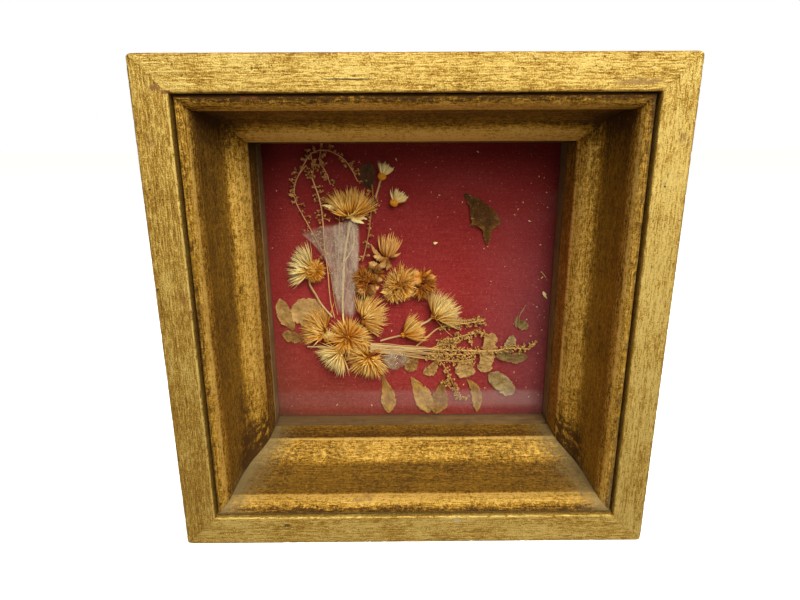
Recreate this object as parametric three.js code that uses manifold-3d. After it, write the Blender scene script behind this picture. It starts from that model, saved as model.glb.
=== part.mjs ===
// Dried flower shadow box: a deep gilt frame with a moulded liner, glazed in front of a red cloth panel
// that carries a crescent of dried flower heads, seed sprays and leaves. Millimetres, +Z up, front to -Y.
import * as THREE from 'three';
import { mergeVertices } from 'three/addons/utils/BufferGeometryUtils.js';
import Module from 'manifold-3d';

const wasm = await Module();
wasm.setup();

// Driving dimensions of the frame
const frameWidth = 203;
const frameHeight = 203;
const rimWidth = 13.5;
const rimEase = 0.9;

// Liner moulding, from the rim inwards and from the front backwards
const linerSetback = 1.6;
const quirkWidth = 0.8;
const quirkFall = 2.8;
const beadWidth = 4.5;
const beadFall = 6.8;
const coveWidth = 4.3;
const coveFall = 22.1;
const bandWidth = 7.3;
const bandFall = 7.4;
const lipFall = 12;
const lipFlare = 0.6;
const swellShares = [0.66, 0.28];

// Glazing stack behind the liner
const glassThickness = 2;
const spacerDepth = 8.7;
const spacerSetback = 0.2;
const clothThickness = 0.4;
const backingThickness = 3;
const rearRoom = 3.6;

// Clearances
const fitGap = 0.3;
const stackGap = 0.1;
const overrun = 2;

// Brads that hold the backing, corner nails and the hanger
const bradRadius = 0.7;
const bradLength = 16;
const bradBite = 7;
const bradHeadRadius = 1.3;
const bradHeadThickness = 0.6;
const cornerNailRadius = 0.9;
const cornerNailLength = 34;
const cornerNailHeadRadius = 1.9;
const cornerNailHeadThickness = 0.8;
const hangerLength = 46;
const hangerHeight = 8;
const hangerThickness = 0.8;
const hangerToothDepth = 2.2;
const hangerTeeth = 9;
const hangerNailRadius = 0.6;
const hangerNailLength = 9;
const hangerNailHeadRadius = 1.5;
const hangerNailHeadThickness = 0.5;
const hangerNailInset = 4;
const nailSides = 6;
const curveSteps = 8;

// Places that follow from the sizes above
const halfWidth = frameWidth / 2;
const halfHeight = frameHeight / 2;
const mitreBack = fitGap / Math.SQRT2;
const linerEdge = rimWidth + fitGap;
const beadCrestInset = linerEdge + quirkWidth + beadWidth / 5;
const coveInset = linerEdge + quirkWidth + beadWidth;
const bandInset = coveInset + coveWidth;
const sightInset = bandInset + bandWidth;
const lipInset = sightInset + lipFlare;
const coveDepth = linerSetback + beadFall;
const bandDepth = coveDepth + coveFall;
const sightDepth = bandDepth + bandFall;
const glassDepth = sightDepth + lipFall;
const spacerFront = glassDepth + stackGap + glassThickness + stackGap;
const clothDepth = spacerFront + spacerDepth + stackGap;
const backingDepth = clothDepth + clothThickness + stackGap;
const backingRear = backingDepth + backingThickness;
const frameDepth = backingRear + rearRoom;
const hangerStand = fitGap + hangerThickness + stackGap + hangerNailHeadThickness;
const frontY = -(frameDepth + hangerStand) / 2;
const rearY = frontY + frameDepth;
const windowInset = lipInset + spacerSetback;
const windowHalf = halfWidth - windowInset;
const windowHalfHeight = halfHeight - windowInset;
const clothY = frontY + clothDepth;
const roomDepth = spacerDepth - fitGap;

// Finishes
const finish = (color, roughness, metalness) => new THREE.MeshStandardMaterial({ color, roughness,
  metalness });
const gilt = finish(0xb48a3a, 0.42, 0.7);
const giltLiner = finish(0xa67c30, 0.45, 0.7);
const rawWood = finish(0x6a4a2a, 0.8, 0);
const clearGlass = finish(0xd8e4e0, 0.05, 0);
const redCloth = finish(0x7f2a26, 0.95, 0);
const hardboard = finish(0x6b4a2e, 0.85, 0);
const steel = finish(0x8d8a84, 0.4, 0.9);
const straw = finish(0xd8a552, 0.85, 0);
const paleStraw = finish(0xe2c583, 0.85, 0);
const rust = finish(0xa8641f, 0.85, 0);
const seed = finish(0xa9793c, 0.9, 0);
const tanLeaf = finish(0xb08a4e, 0.9, 0);
const oliveLeaf = finish(0x857a48, 0.9, 0);
const darkLeaf = finish(0x3c2416, 0.9, 0);
const glueFilm = finish(0xd9cdb8, 0.35, 0);

// Solids and meshes
function solidOf(geometry) {
  const bare = geometry.clone();
  bare.deleteAttribute('normal');
  bare.deleteAttribute('uv');
  const merged = mergeVertices(bare);
  return new wasm.Manifold(new wasm.Mesh({
    numProp: 3,
    vertProperties: Float32Array.from(merged.attributes.position.array),
    triVerts: Uint32Array.from(merged.index.array),
  }));
}

function geometryOf(solid) {
  const cut = solid.getMesh();
  const geometry = new THREE.BufferGeometry();
  geometry.setAttribute('position', new THREE.BufferAttribute(cut.vertProperties, cut.numProp));
  geometry.setIndex(new THREE.BufferAttribute(cut.triVerts, 1));
  geometry.computeVertexNormals();
  return geometry;
}

// The largest body of a cut solid, without the crumbs that a cut leaves
function mainBody(solid) {
  return solid.decompose().reduce((best, body) => (body.volume() > best.volume() ? body : best));
}

const box = new THREE.Group();

function addPiece(name, geometry, material) {
  const mesh = new THREE.Mesh(geometry, material.clone());
  mesh.name = name;
  box.add(mesh);
}

function boxSolid(low, high) {
  const size = high.map((value, axis) => value - low[axis]);
  const middle = high.map((value, axis) => (value + low[axis]) / 2);
  return solidOf(new THREE.BoxGeometry(...size).translate(...middle));
}

// A closed mesh from points and faces, turned so that its faces point out
function closedGeometry(points, faces) {
  const vertices = points.map((point) => new THREE.Vector3(...point));
  const volume = faces.reduce((sum, [a, b, c]) => (
    sum + vertices[a].dot(new THREE.Vector3().crossVectors(vertices[b], vertices[c]))), 0);
  const outward = volume > 0 ? faces : faces.map(([a, b, c]) => [a, c, b]);
  const geometry = new THREE.BufferGeometry();
  geometry.setAttribute('position', new THREE.Float32BufferAttribute(points.flat(), 3));
  geometry.setIndex(outward.flat());
  return geometry;
}

// Mitred rails: an outline of inset and depth runs along one side of the frame, from end -1 to end 1
const endAcross = (inset, end) => end * (halfWidth - inset - mitreBack);
const endHeight = (inset, end) => halfHeight + end * (halfHeight - inset - mitreBack);
const sides = {
  top: (inset, depth, end) => [endAcross(inset, end), frontY + depth, frameHeight - inset],
  bottom: (inset, depth, end) => [endAcross(inset, end), frontY + depth, inset],
  left: (inset, depth, end) => [inset - halfWidth, frontY + depth, endHeight(inset, end)],
  right: (inset, depth, end) => [halfWidth - inset, frontY + depth, endHeight(inset, end)],
};

function railGeometry(shape, place) {
  const outline = shape.getPoints(curveSteps).filter((point, at,
    all) => at === 0 || point.distanceTo(all[at - 1]) > 0);
  if (outline[0].distanceTo(outline.at(-1)) === 0) outline.pop();
  const count = outline.length;
  const points = [-1, 1].flatMap((end) => outline.map(({ x, y }) => place(x, y, end)));
  const walls = outline.flatMap((point, at) => {
    const next = (at + 1) % count;
    return [[at, next, next + count], [at, next + count, at + count]];
  });
  const cap = THREE.ShapeUtils.triangulateShape(outline, []);
  const sameWay = cap.some((face) => face.some((corner,
    spot) => corner === 0 && face[(spot + 1) % 3] === 1));
  const turned = cap.map(([a, b, c]) => [a, c, b]);
  const near = sameWay ? turned : cap;
  const far = (sameWay ? cap : turned).map((face) => face.map((corner) => corner + count));
  return closedGeometry(points, [...walls, ...near, ...far]);
}

function outerShape() {
  const shape = new THREE.Shape();
  shape.moveTo(0, rimEase);
  shape.quadraticCurveTo(0, 0, rimEase, 0);
  shape.lineTo(rimWidth - rimEase, 0);
  shape.quadraticCurveTo(rimWidth, 0, rimWidth, rimEase);
  shape.lineTo(rimWidth, frameDepth);
  shape.lineTo(0, frameDepth);
  return shape;
}

function linerShape() {
  const quirkFloor = linerSetback + quirkFall;
  const shape = new THREE.Shape();
  shape.moveTo(linerEdge, quirkFloor);
  shape.lineTo(linerEdge + quirkWidth, quirkFloor);
  shape.quadraticCurveTo(linerEdge + quirkWidth, linerSetback, beadCrestInset, linerSetback);
  shape.bezierCurveTo(
    beadCrestInset + beadWidth / 3, linerSetback,
    coveInset, linerSetback + beadFall / 3,
    coveInset, coveDepth,
  );
  shape.quadraticCurveTo(coveInset, bandDepth - coveFall / 4, bandInset, bandDepth);
  shape.quadraticCurveTo(
    bandInset + bandWidth * swellShares[0], bandDepth + bandFall * swellShares[1],
    sightInset, sightDepth,
  );
  shape.lineTo(lipInset, glassDepth);
  shape.lineTo(linerEdge, glassDepth);
  return shape;
}

function spacerShape() {
  const shape = new THREE.Shape();
  shape.moveTo(linerEdge, spacerFront);
  shape.lineTo(windowInset, spacerFront);
  shape.lineTo(windowInset, spacerFront + spacerDepth);
  shape.lineTo(linerEdge, spacerFront + spacerDepth);
  return shape;
}

// Nails and brads: a round shank with a flat head, along +Z with the head's top at zero
function turned(profile) {
  const outline = profile.map(([radius, height]) => new THREE.Vector2(radius, height)).reverse();
  return new THREE.LatheGeometry(outline, nailSides).rotateX(Math.PI / 2);
}

function nailGeometry(radius, length, headRadius, headThickness) {
  const profile = [
    [0, 0], [headRadius, 0], [headRadius, -headThickness], [radius, -headThickness],
    [radius, radius * 2 - length], [0, -length],
  ];
  return turned(profile);
}

function nailHole(radius, length, headRadius, headThickness) {
  const profile = [
    [0, overrun], [headRadius + fitGap, overrun], [headRadius + fitGap, -headThickness - fitGap],
    [radius + fitGap, -headThickness - fitGap], [radius + fitGap, -length - fitGap], [0, -length - fitGap],
  ];
  return turned(profile);
}

const brads = {
  top: { turn: [0, 0], at: [0, frameHeight - rimWidth] },
  bottom: { turn: [Math.PI, 0], at: [0, rimWidth] },
  left: { turn: [0, -Math.PI / 2], at: [rimWidth - halfWidth, halfHeight] },
  right: { turn: [0, Math.PI / 2], at: [halfWidth - rimWidth, halfHeight] },
};
const bradY = frontY + backingRear + stackGap + bradHeadRadius;

// A brad's shank points into its rail, and its head stays over the backing board
function placeBrad(geometry, { turn, at }) {
  return geometry.rotateX(Math.PI).translate(0, 0, bradBite - bradLength)
    .rotateX(turn[0]).rotateY(turn[1]).translate(at[0], bradY, at[1]);
}

const cornerNails = {
  top_left: [-1, frameHeight - rimWidth / 2],
  top_right: [1, frameHeight - rimWidth / 2],
  bottom_left: [-1, rimWidth / 2],
  bottom_right: [1, rimWidth / 2],
};

function placeCornerNail(geometry, [side, height]) {
  return geometry.rotateY(side * Math.PI / 2).translate(side * (halfWidth - stackGap),
    frontY + frameDepth / 2, height);
}

const hangerNailPlaces = [-1, 1].map((side) => side * (hangerLength / 2 - hangerNailInset));
const hangerHeightAt = frameHeight - rimWidth / 2;
const hangerRear = rearY + fitGap + hangerThickness;

function placeHangerNail(geometry, x) {
  return geometry.rotateX(-Math.PI / 2)
    .translate(x, hangerRear + stackGap + hangerNailHeadThickness, hangerHeightAt + hangerToothDepth / 2);
}

// Frame: outer rails with the holes for their nails and brads, liner rails and spacers
const nailSize = [cornerNailRadius, cornerNailLength, cornerNailHeadRadius, cornerNailHeadThickness];
const bradSize = [bradRadius, bradLength, bradHeadRadius, bradHeadThickness];
const hangerNailSize = [hangerNailRadius, hangerNailLength, hangerNailHeadRadius, hangerNailHeadThickness];
const holes = [
  ...Object.values(cornerNails).map((at) => placeCornerNail(nailHole(...nailSize), at)),
  ...Object.values(brads).map((at) => placeBrad(nailHole(...bradSize), at)),
  ...hangerNailPlaces.map((x) => placeHangerNail(nailHole(...hangerNailSize), x)),
].map(solidOf);

for (const [side, place] of Object.entries(sides)) {
  const rail = wasm.Manifold.difference([solidOf(railGeometry(outerShape(), place)), ...holes]);
  addPiece(`outer_rail_${side}`, geometryOf(rail), gilt);
}
for (const [side, place] of Object.entries(sides)) {
  addPiece(`liner_rail_${side}`, railGeometry(linerShape(), place), giltLiner);
}
for (const [side, place] of Object.entries(sides)) {
  addPiece(`spacer_${side}`, railGeometry(spacerShape(), place), rawWood);
}

// Flat sheets of the glazing stack, cut to drop into the outer frame
function addSheet(name, depth, thickness, material) {
  const geometry = new THREE.BoxGeometry(frameWidth - 2 * linerEdge, thickness,
    frameHeight - 2 * linerEdge);
  addPiece(name, geometry.translate(0, frontY + depth + thickness / 2, halfHeight), material);
}

addSheet('glass_pane', glassDepth + stackGap, glassThickness, clearGlass);
addSheet('cloth_facing', clothDepth, clothThickness, redCloth);
addSheet('backing_board', backingDepth, backingThickness, hardboard);

for (const [side, at] of Object.entries(brads)) {
  addPiece(`brad_${side}`, placeBrad(nailGeometry(...bradSize), at), steel);
}
for (const [corner, at] of Object.entries(cornerNails)) {
  addPiece(`corner_nail_${corner}`, placeCornerNail(nailGeometry(...nailSize), at), steel);
}

// Sawtooth hanger: a steel strip with a toothed lower edge, nailed to the back of the top rail
function hangerGeometry() {
  const shape = new THREE.Shape();
  const half = hangerLength / 2;
  const pitch = (hangerLength - 4 * hangerNailInset) / hangerTeeth;
  const toothStart = 2 * hangerNailInset - half;
  shape.moveTo(-half, 0);
  shape.lineTo(toothStart, 0);
  for (let tooth = 0; tooth < hangerTeeth; tooth += 1) {
    shape.lineTo(toothStart + (tooth + 0.5) * pitch, hangerToothDepth);
    shape.lineTo(toothStart + (tooth + 1) * pitch, 0);
  }
  shape.lineTo(half, 0);
  shape.lineTo(half, hangerHeight);
  shape.lineTo(-half, hangerHeight);
  for (const x of hangerNailPlaces) {
    const hole = new THREE.Path();
    hole.absarc(x, (hangerHeight + hangerToothDepth) / 2, hangerNailRadius + fitGap, 0, 2 * Math.PI, true);
    shape.holes.push(hole);
  }
  const strip = new THREE.ExtrudeGeometry(shape, { depth: hangerThickness, bevelEnabled: false,
    curveSegments: 6 });
  return strip.rotateX(Math.PI / 2)
    .translate(0, hangerRear, hangerHeightAt - hangerHeight / 2);
}

addPiece('sawtooth_hanger', hangerGeometry(), steel);
hangerNailPlaces.forEach((x, at) => {
  addPiece(`hanger_nail_${['left', 'right'][at]}`, placeHangerNail(nailGeometry(...hangerNailSize), x),
    steel);
});

// The dried arrangement lies on the cloth. Places are shares of the window's half width and half height,
// heights are measured from the cloth towards the glass.
const at = (xShare, zShare, height) => new THREE.Vector3(
  xShare * windowHalf, clothY - height, halfHeight + zShare * windowHalfHeight);

const leafWidth = 10;
const leafThickness = 0.5;
const leafFold = 0.35;
const stemRadius = 0.5;
const stemSides = 5;
const fragmentStalkRadius = 0.3;
const seedRadius = 0.85;
const seedOffset = stemRadius + seedRadius / 2;
const headReach = 15.5;
const calyxRadius = 3.2;
const bractWidth = 1.5;
const bractThickness = 0.7;
const filmThickness = 0.4;
const lumpThickness = 3.6;
const lowStem = fitGap + leafThickness + leafFold + fitGap + stemRadius;
const liftOver = 2 * stemRadius + fitGap;
const highStem = lowStem + liftOver;
const filmHeight = highStem + stemRadius + fitGap;
const leafLift = lowStem - fitGap - leafThickness;

const room = boxSolid(
  [-windowHalf + fitGap, clothY - roomDepth, halfHeight - windowHalfHeight + fitGap],
  [windowHalf - fitGap, clothY - fitGap, halfHeight + windowHalfHeight - fitGap],
);

// A leaf: an outline of half-width shares along a bent midrib, folded a little at the rib
const leafWidthShares = {
  lance: [0.10, 0.42, 0.72, 0.92, 1.0, 0.92, 0.66, 0.30],
  oval: [0.16, 0.62, 0.90, 1.0, 1.0, 0.90, 0.70, 0.34],
  broad: [0.20, 0.75, 0.95, 1.0, 0.97, 0.92, 0.85, 0.60],
};

function leafSolid({ ribShares, widthShare, form, lift = [0, 0] }, grow) {
  const curve = new THREE.CatmullRomCurve3(ribShares.map(([x, z]) => at(x, z, 0)));
  const shares = leafWidthShares[form];
  const across = [-1, 0, 1];
  const points = [];
  shares.forEach((share, row) => {
    const along = row / (shares.length - 1);
    const middle = curve.getPoint(along);
    const run = curve.getTangent(along);
    const wide = new THREE.Vector3(run.z, 0,
      -run.x).multiplyScalar(share * widthShare * leafWidth / 2 + grow);
    const rest = fitGap + lift[0] + (lift[1] - lift[0]) * along;
    const slide = run.multiplyScalar(row === 0 ? -grow : row === shares.length - 1 ? grow : 0);
    for (const face of [0, 1]) {
      for (const side of across) {
        const height = rest + (side === 0 ? leafFold : 0) + face * leafThickness + (face ? grow : -grow);
        points.push(middle.clone().addScaledVector(wide, side).add(slide)
          .add(new THREE.Vector3(0, -height, 0)).toArray());
      }
    }
  });
  const faces = [];
  const quad = (a, b, c, d) => faces.push([a, b, c], [a, c, d]);
  for (let row = 0; row + 1 < shares.length; row += 1) {
    const here = row * 6;
    const next = here + 6;
    quad(here, here + 1, next + 1, next);
    quad(here + 1, here + 2, next + 2, next + 1);
    quad(here + 4, here + 3, next + 3, next + 4);
    quad(here + 5, here + 4, next + 4, next + 5);
    quad(here + 3, here, next, next + 3);
    quad(here + 2, here + 5, next + 5, next + 2);
  }
  const last = (shares.length - 1) * 6;
  quad(0, 3, 4, 1);
  quad(1, 4, 5, 2);
  quad(last + 3, last, last + 1, last + 4);
  quad(last + 4, last + 1, last + 2, last + 5);
  return solidOf(closedGeometry(points, faces));
}

// A stem: a round tube along a route of shares at one height
function tubeSolid(points, radius) {
  const section = new THREE.Shape(Array.from({ length: stemSides }, (none, corner) => (
    new THREE.Vector2(radius, 0).rotateAround(new THREE.Vector2(), 2 * Math.PI * corner / stemSides))));
  const steps = 2 * (points.length - 1);
  const extrudePath = new THREE.CatmullRomCurve3(points);
  return solidOf(new THREE.ExtrudeGeometry(section, { steps, extrudePath }));
}

function stemSolid({ routeShares, height = lowStem, radius = stemRadius }, grow) {
  return tubeSolid(routeShares.map(([x, z, rise = 0]) => at(x, z, height + rise)), radius + grow);
}

// Seeds sit on alternate sides of a stem, evenly along it
function seedSolids({ routeShares, height = lowStem, seeds = 0,
  seedsFromShare = 0, seedsToShare = 1 }, grow) {
  const curve = new THREE.CatmullRomCurve3(routeShares.map(([x, z, rise = 0]) => at(x, z, height + rise)));
  return Array.from({ length: seeds }, (none, which) => {
    const along = seedsFromShare + (seedsToShare - seedsFromShare) * (which + 0.5) / seeds;
    const run = curve.getTangent(along);
    const side = new THREE.Vector3(run.z, 0, -run.x).multiplyScalar((which % 2 ? 1 : -1) * seedOffset);
    const middle = curve.getPoint(along).add(side);
    return solidOf(new THREE.OctahedronGeometry(seedRadius + grow, 0).translate(...middle));
  });
}

// A flower head: a calyx with layers of pointed bracts that open into a fan, or all round
const bellyShare = 0.55;
const keelShare = 0.5;
const raggedShare = 0.12;
const twists = [-16, 9, 21, -7, 14];
const bractLayers = [
  { tilt: -3, lengthShare: 1 },
  { tilt: 24, lengthShare: 0.8 },
];

function bractSolid(root, direction, twist, length, grow) {
  const turn = THREE.MathUtils.degToRad(twist);
  const wide = new THREE.Vector3(direction.z, 0, -direction.x).normalize()
    .applyAxisAngle(direction, turn);
  const thick = new THREE.Vector3().crossVectors(direction, wide);
  const belly = root.clone().addScaledVector(direction, length * bellyShare);
  const ring = [[1, -keelShare], [0, 1], [-1, -keelShare]].map(([w, t]) => belly.clone()
    .addScaledVector(wide, w * (bractWidth / 2 + grow))
    .addScaledVector(thick, t * (bractThickness / 2 + grow)));
  const tip = root.clone().addScaledVector(direction, length + 2 * grow);
  const points = [root, ...ring, tip].map((point) => point.toArray());
  const faces = ring.flatMap((corner, spot) => {
    const here = spot + 1;
    const next = (spot + 1) % ring.length + 1;
    return [[0, next, here], [points.length - 1, here, next]];
  });
  return solidOf(closedGeometry(points, faces));
}

function headSolids({ placeShares, aim, fan, reachShare, bracts,
  stalk = [], stalkHeight = highStem }, grow) {
  const reach = headReach * reachShare;
  const radius = calyxRadius * Math.min(1, reachShare);
  const middle = at(...placeShares, radius);
  const calyx = solidOf(new THREE.SphereGeometry(radius + grow, 7, 4).translate(...middle));
  const petals = bractLayers.flatMap(({ tilt, lengthShare }, layer) => Array.from({ length: bracts },
    (none, which) => {
    const turn = THREE.MathUtils.degToRad(aim + fan * (2 * (which + 0.5 + (layer % 2) / 2) / bracts - 1));
    const up = THREE.MathUtils.degToRad(tilt);
    const direction = new THREE.Vector3(Math.cos(turn) * Math.cos(up), -Math.sin(up),
      Math.sin(turn) * Math.cos(up));
    const wander = 1 - raggedShare * ((which * 7 + layer * 3) % 4) / 3;
    const twist = twists[(which + layer) % twists.length];
    return bractSolid(middle, direction, twist, reach * lengthShare * wander, grow);
  }));
  const route = [middle, ...stalk.map(([x, z]) => at(x, z, stalkHeight))];
  const stem = stalk.length ? [tubeSolid(route, stemRadius + grow)] : [];
  return [calyx, ...petals, ...stem];
}

// A film or a lump of glue: a rounded outline with a domed front, as shares of its reach and thickness
const domeShares = [[1, 0], [1, 0.45], [0.8, 0.9]];

function glueSolid({ outlineShares, height, thickness }, grow) {
  const curve = new THREE.CatmullRomCurve3(outlineShares.map(([x, z]) => at(x, z, height)), true);
  const rim = curve.getPoints(outlineShares.length * 2).slice(0, -1);
  const middle = rim.reduce((sum, point) => sum.add(point), new THREE.Vector3()).divideScalar(rim.length);
  const points = domeShares.flatMap(([share, rise], level) => rim.map((point) => {
    const outwards = point.clone().sub(middle);
    const scale = share + grow / outwards.length();
    const lift = (level === 0 ? -grow : grow) + rise * thickness;
    return middle.clone().addScaledVector(outwards, scale).add(new THREE.Vector3(0, -lift, 0)).toArray();
  }));
  points.push(middle.clone().add(new THREE.Vector3(0, grow, 0)).toArray());
  points.push(middle.clone().add(new THREE.Vector3(0, -thickness - grow, 0)).toArray());
  const count = rim.length;
  const faces = [];
  for (let spot = 0; spot < count; spot += 1) {
    const next = (spot + 1) % count;
    faces.push([points.length - 2, next, spot]);
    for (const ring of [0, count]) {
      faces.push([spot + ring, next + ring, next + ring + count], [spot + ring, next + ring + count,
        spot + ring + count]);
    }
    faces.push([spot + 2 * count, next + 2 * count, points.length - 1]);
  }
  return solidOf(closedGeometry(points, faces));
}

// Each piece of the arrangement, from the cloth forwards
const arrangement = [
  { name: 'pressed_leaf_dark', material: darkLeaf,
    leaves: [{ ribShares: [[0.36, 0.68], [0.45, 0.55], [0.53, 0.42], [0.53, 0.31]], widthShare: 1.1,
      form: 'lance' }] },
  { name: 'leaf_at_wall', material: tanLeaf,
    leaves: [{ ribShares: [[-0.85, -0.31], [-0.91, -0.19], [-0.94, -0.07]], widthShare: 0.7,
      form: 'oval' }] },
  { name: 'leaf_behind_left', material: tanLeaf,
    leaves: [{ ribShares: [[-0.60, -0.23], [-0.74, -0.18], [-0.86, -0.14]], widthShare: 1.5,
      form: 'broad' }] },
  { name: 'leaf_low_left', material: tanLeaf,
    leaves: [{ ribShares: [[-0.79, -0.385], [-0.87, -0.355], [-0.94, -0.34]], widthShare: 0.65,
      form: 'oval' }] },
  { name: 'leaf_pointed', material: tanLeaf,
    leaves: [{ ribShares: [[-0.21, -0.67], [-0.175, -0.83], [-0.17, -0.98]], widthShare: 0.7,
      form: 'lance' }] },
  { name: 'leaf_drop_left', material: tanLeaf,
    leaves: [{ ribShares: [[0.0, -0.685], [0.08, -0.825], [0.135, -0.98]], widthShare: 0.85,
      form: 'oval' }] },
  { name: 'leaf_drop_right', material: tanLeaf,
    leaves: [{ ribShares: [[0.225, -0.72], [0.22, -0.86], [0.18, -0.985]], widthShare: 0.85,
      form: 'oval' }] },
  { name: 'leaf_curved', material: tanLeaf,
    leaves: [{ ribShares: [[0.42, -0.705], [0.49, -0.81], [0.50, -0.98]], widthShare: 0.55,
      form: 'lance' }] },
  { name: 'leaf_grey_green', material: oliveLeaf,
    leaves: [{ ribShares: [[0.58, -0.665], [0.68, -0.74], [0.77, -0.83]], widthShare: 0.9,
      form: 'broad' }] },
  { name: 'leaf_fragment', material: tanLeaf,
    leaves: [{ ribShares: [[0.775, -0.25], [0.815, -0.285], [0.845, -0.31]], widthShare: 0.5,
      form: 'broad' }],
    stems: [{ routeShares: [[0.825, -0.13], [0.785, -0.21], [0.785, -0.265]],
      height: fitGap + leafThickness, radius: fragmentStalkRadius }] },

  { name: 'spray_left', material: seed,
    stems: [
      { routeShares: [[-0.70, 0.86], [-0.76, 0.785], [-0.79, 0.70], [-0.78, 0.61], [-0.70, 0.44],
        [-0.63, 0.30], [-0.59, 0.20], [-0.565, 0.105], [-0.55, -0.06]], seeds: 9, seedsToShare: 0.7 },
      { routeShares: [[-0.76, 0.785], [-0.72, 0.86], [-0.67, 0.93], [-0.60, 0.955], [-0.53, 0.945],
        [-0.45, 0.90], [-0.40, 0.83], [-0.36, 0.75]], seeds: 9, seedsFromShare: 0.2 },
      { routeShares: [[-0.60, 0.955], [-0.61, 0.88], [-0.57, 0.81], [-0.545, 0.73]], seeds: 4,
        seedsFromShare: 0.2 },
    ] },
  { name: 'spray_inner', material: seed,
    stems: [{ routeShares: [[-0.665, 0.775], [-0.63, 0.665], [-0.615, 0.58], [-0.605, 0.48, liftOver / 2],
      [-0.60, 0.32, liftOver], [-0.585, 0.145, liftOver], [-0.58, -0.075, liftOver]], seeds: 8,
      seedsToShare: 0.6 }] },
  { name: 'spray_right_of_fan', material: seed,
    stems: [{ routeShares: [[-0.265, 0.73], [-0.26, 0.63], [-0.275, 0.53], [-0.29, 0.42], [-0.32, 0.28],
      [-0.345, 0.20]], seeds: 6 }],
    leaves: [{ ribShares: [[-0.265, 0.70], [-0.295, 0.79], [-0.27, 0.875]], widthShare: 0.75, form: 'oval',
      lift: [leafLift, 0] }] },
  { name: 'stems_under_film', material: paleStraw,
    stems: [
      { routeShares: [[-0.42, 0.48], [-0.445, 0.355], [-0.47, 0.20], [-0.485, 0.0], [-0.49, -0.17]] },
      { routeShares: [[-0.40, 0.44], [-0.40, 0.32], [-0.465, 0.20]] },
    ] },
  { name: 'sprig_long', material: seed,
    stems: [
      { routeShares: [[-0.28, -0.42], [-0.08, -0.44], [0.14, -0.455], [0.36, -0.47], [0.59, -0.475],
        [0.74, -0.455], [0.865, -0.465]], seeds: 6, seedsFromShare: 0.4 },
      { routeShares: [[0.03, -0.44], [0.12, -0.36], [0.20, -0.295], [0.32, -0.27], [0.425, -0.255],
        [0.525, -0.24]], seeds: 8, seedsFromShare: 0.4 },
      { routeShares: [[0.16, -0.45], [0.26, -0.395], [0.36, -0.36], [0.45, -0.34], [0.54, -0.33]], seeds: 4,
        seedsFromShare: 0.4 },
      { routeShares: [[0.865, -0.465], [0.885, -0.44], [0.895, -0.415]], seeds: 2 },
    ],
    leaves: [
      { ribShares: [[0.56, -0.478], [0.58, -0.415], [0.595, -0.355]], widthShare: 0.7, form: 'broad',
        lift: [leafLift, 0] },
      { ribShares: [[0.58, -0.475], [0.54, -0.565], [0.52, -0.635]], widthShare: 0.75, form: 'broad',
        lift: [leafLift, 0] },
      { ribShares: [[0.685, -0.465], [0.725, -0.41], [0.745, -0.36]], widthShare: 0.5, form: 'oval',
        lift: [leafLift, 0] },
      { ribShares: [[0.675, -0.465], [0.71, -0.53], [0.86, -0.53]], widthShare: 0.75, form: 'broad',
        lift: [leafLift, 0] },
    ] },
  { name: 'sprig_short', material: seed,
    stems: [
      { routeShares: [[-0.26, -0.465], [-0.08, -0.50], [0.065, -0.525], [0.21, -0.545], [0.36, -0.555],
        [0.46, -0.54]], seeds: 6, seedsFromShare: 0.35,
        seedsToShare: 0.75 },
      { routeShares: [[0.21, -0.545], [0.27, -0.64], [0.315, -0.745], [0.35, -0.835], [0.43, -0.85]],
        seeds: 7, seedsFromShare: 0.2 },
    ],
    leaves: [
      { ribShares: [[0.045, -0.525], [0.0, -0.59], [-0.02, -0.645]], widthShare: 0.6, form: 'oval',
        lift: [leafLift, 0] },
      { ribShares: [[0.20, -0.545], [0.15, -0.62], [0.09, -0.66]], widthShare: 0.6, form: 'lance',
        lift: [leafLift, 0] },
      { ribShares: [[0.37, -0.555], [0.40, -0.62], [0.42, -0.69]], widthShare: 1, form: 'broad',
        lift: [leafLift, 0] },
    ] },

  { name: 'glue_film', material: glueFilm,
    glue: { outlineShares: [[-0.76, 0.41], [-0.64, 0.455], [-0.50, 0.475], [-0.43, 0.505],
      [-0.365, 0.50], [-0.353, 0.36], [-0.366, 0.15], [-0.385, -0.01], [-0.41, -0.155], [-0.51, -0.13],
      [-0.545, -0.01], [-0.58, 0.165], [-0.66, 0.305]], height: filmHeight, thickness: filmThickness } },
  { name: 'glue_lump', material: glueFilm,
    glue: { outlineShares: [[-0.21, -0.47], [-0.14, -0.465], [-0.055, -0.49], [-0.04, -0.55],
      [-0.06, -0.61], [-0.14, -0.625], [-0.20, -0.60], [-0.22, -0.535]],
      height: fitGap, thickness: lumpThickness } },

  { name: 'head_bottom', material: straw, heads: [
    { placeShares: [-0.31, -0.505], aim: 245, fan: 88, reachShare: 0.97, bracts: 10 }] },
  { name: 'head_pale_low', material: paleStraw, heads: [
    { placeShares: [-0.52, -0.465], aim: 222, fan: 58, reachShare: 0.87, bracts: 7 }] },
  { name: 'head_left', material: straw, heads: [
    { placeShares: [-0.62, -0.30], aim: 150, fan: 62, reachShare: 0.95, bracts: 8 }] },
  { name: 'head_centre', material: straw, heads: [
    { placeShares: [-0.457, -0.357], aim: 90, fan: 180, reachShare: 0.8, bracts: 12 }] },
  { name: 'head_mid', material: straw, heads: [
    { placeShares: [-0.323, -0.153], aim: 25, fan: 52, reachShare: 0.86, bracts: 7 },
    { placeShares: [-0.347, -0.235], aim: -8, fan: 35, reachShare: 0.74, bracts: 4,
      stalk: [[-0.323, -0.153]], stalkHeight: calyxRadius / 2 }] },
  { name: 'head_pale_left', material: paleStraw, heads: [
    { placeShares: [-0.685, 0.157], aim: 158, fan: 84, reachShare: 0.88, bracts: 9,
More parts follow.
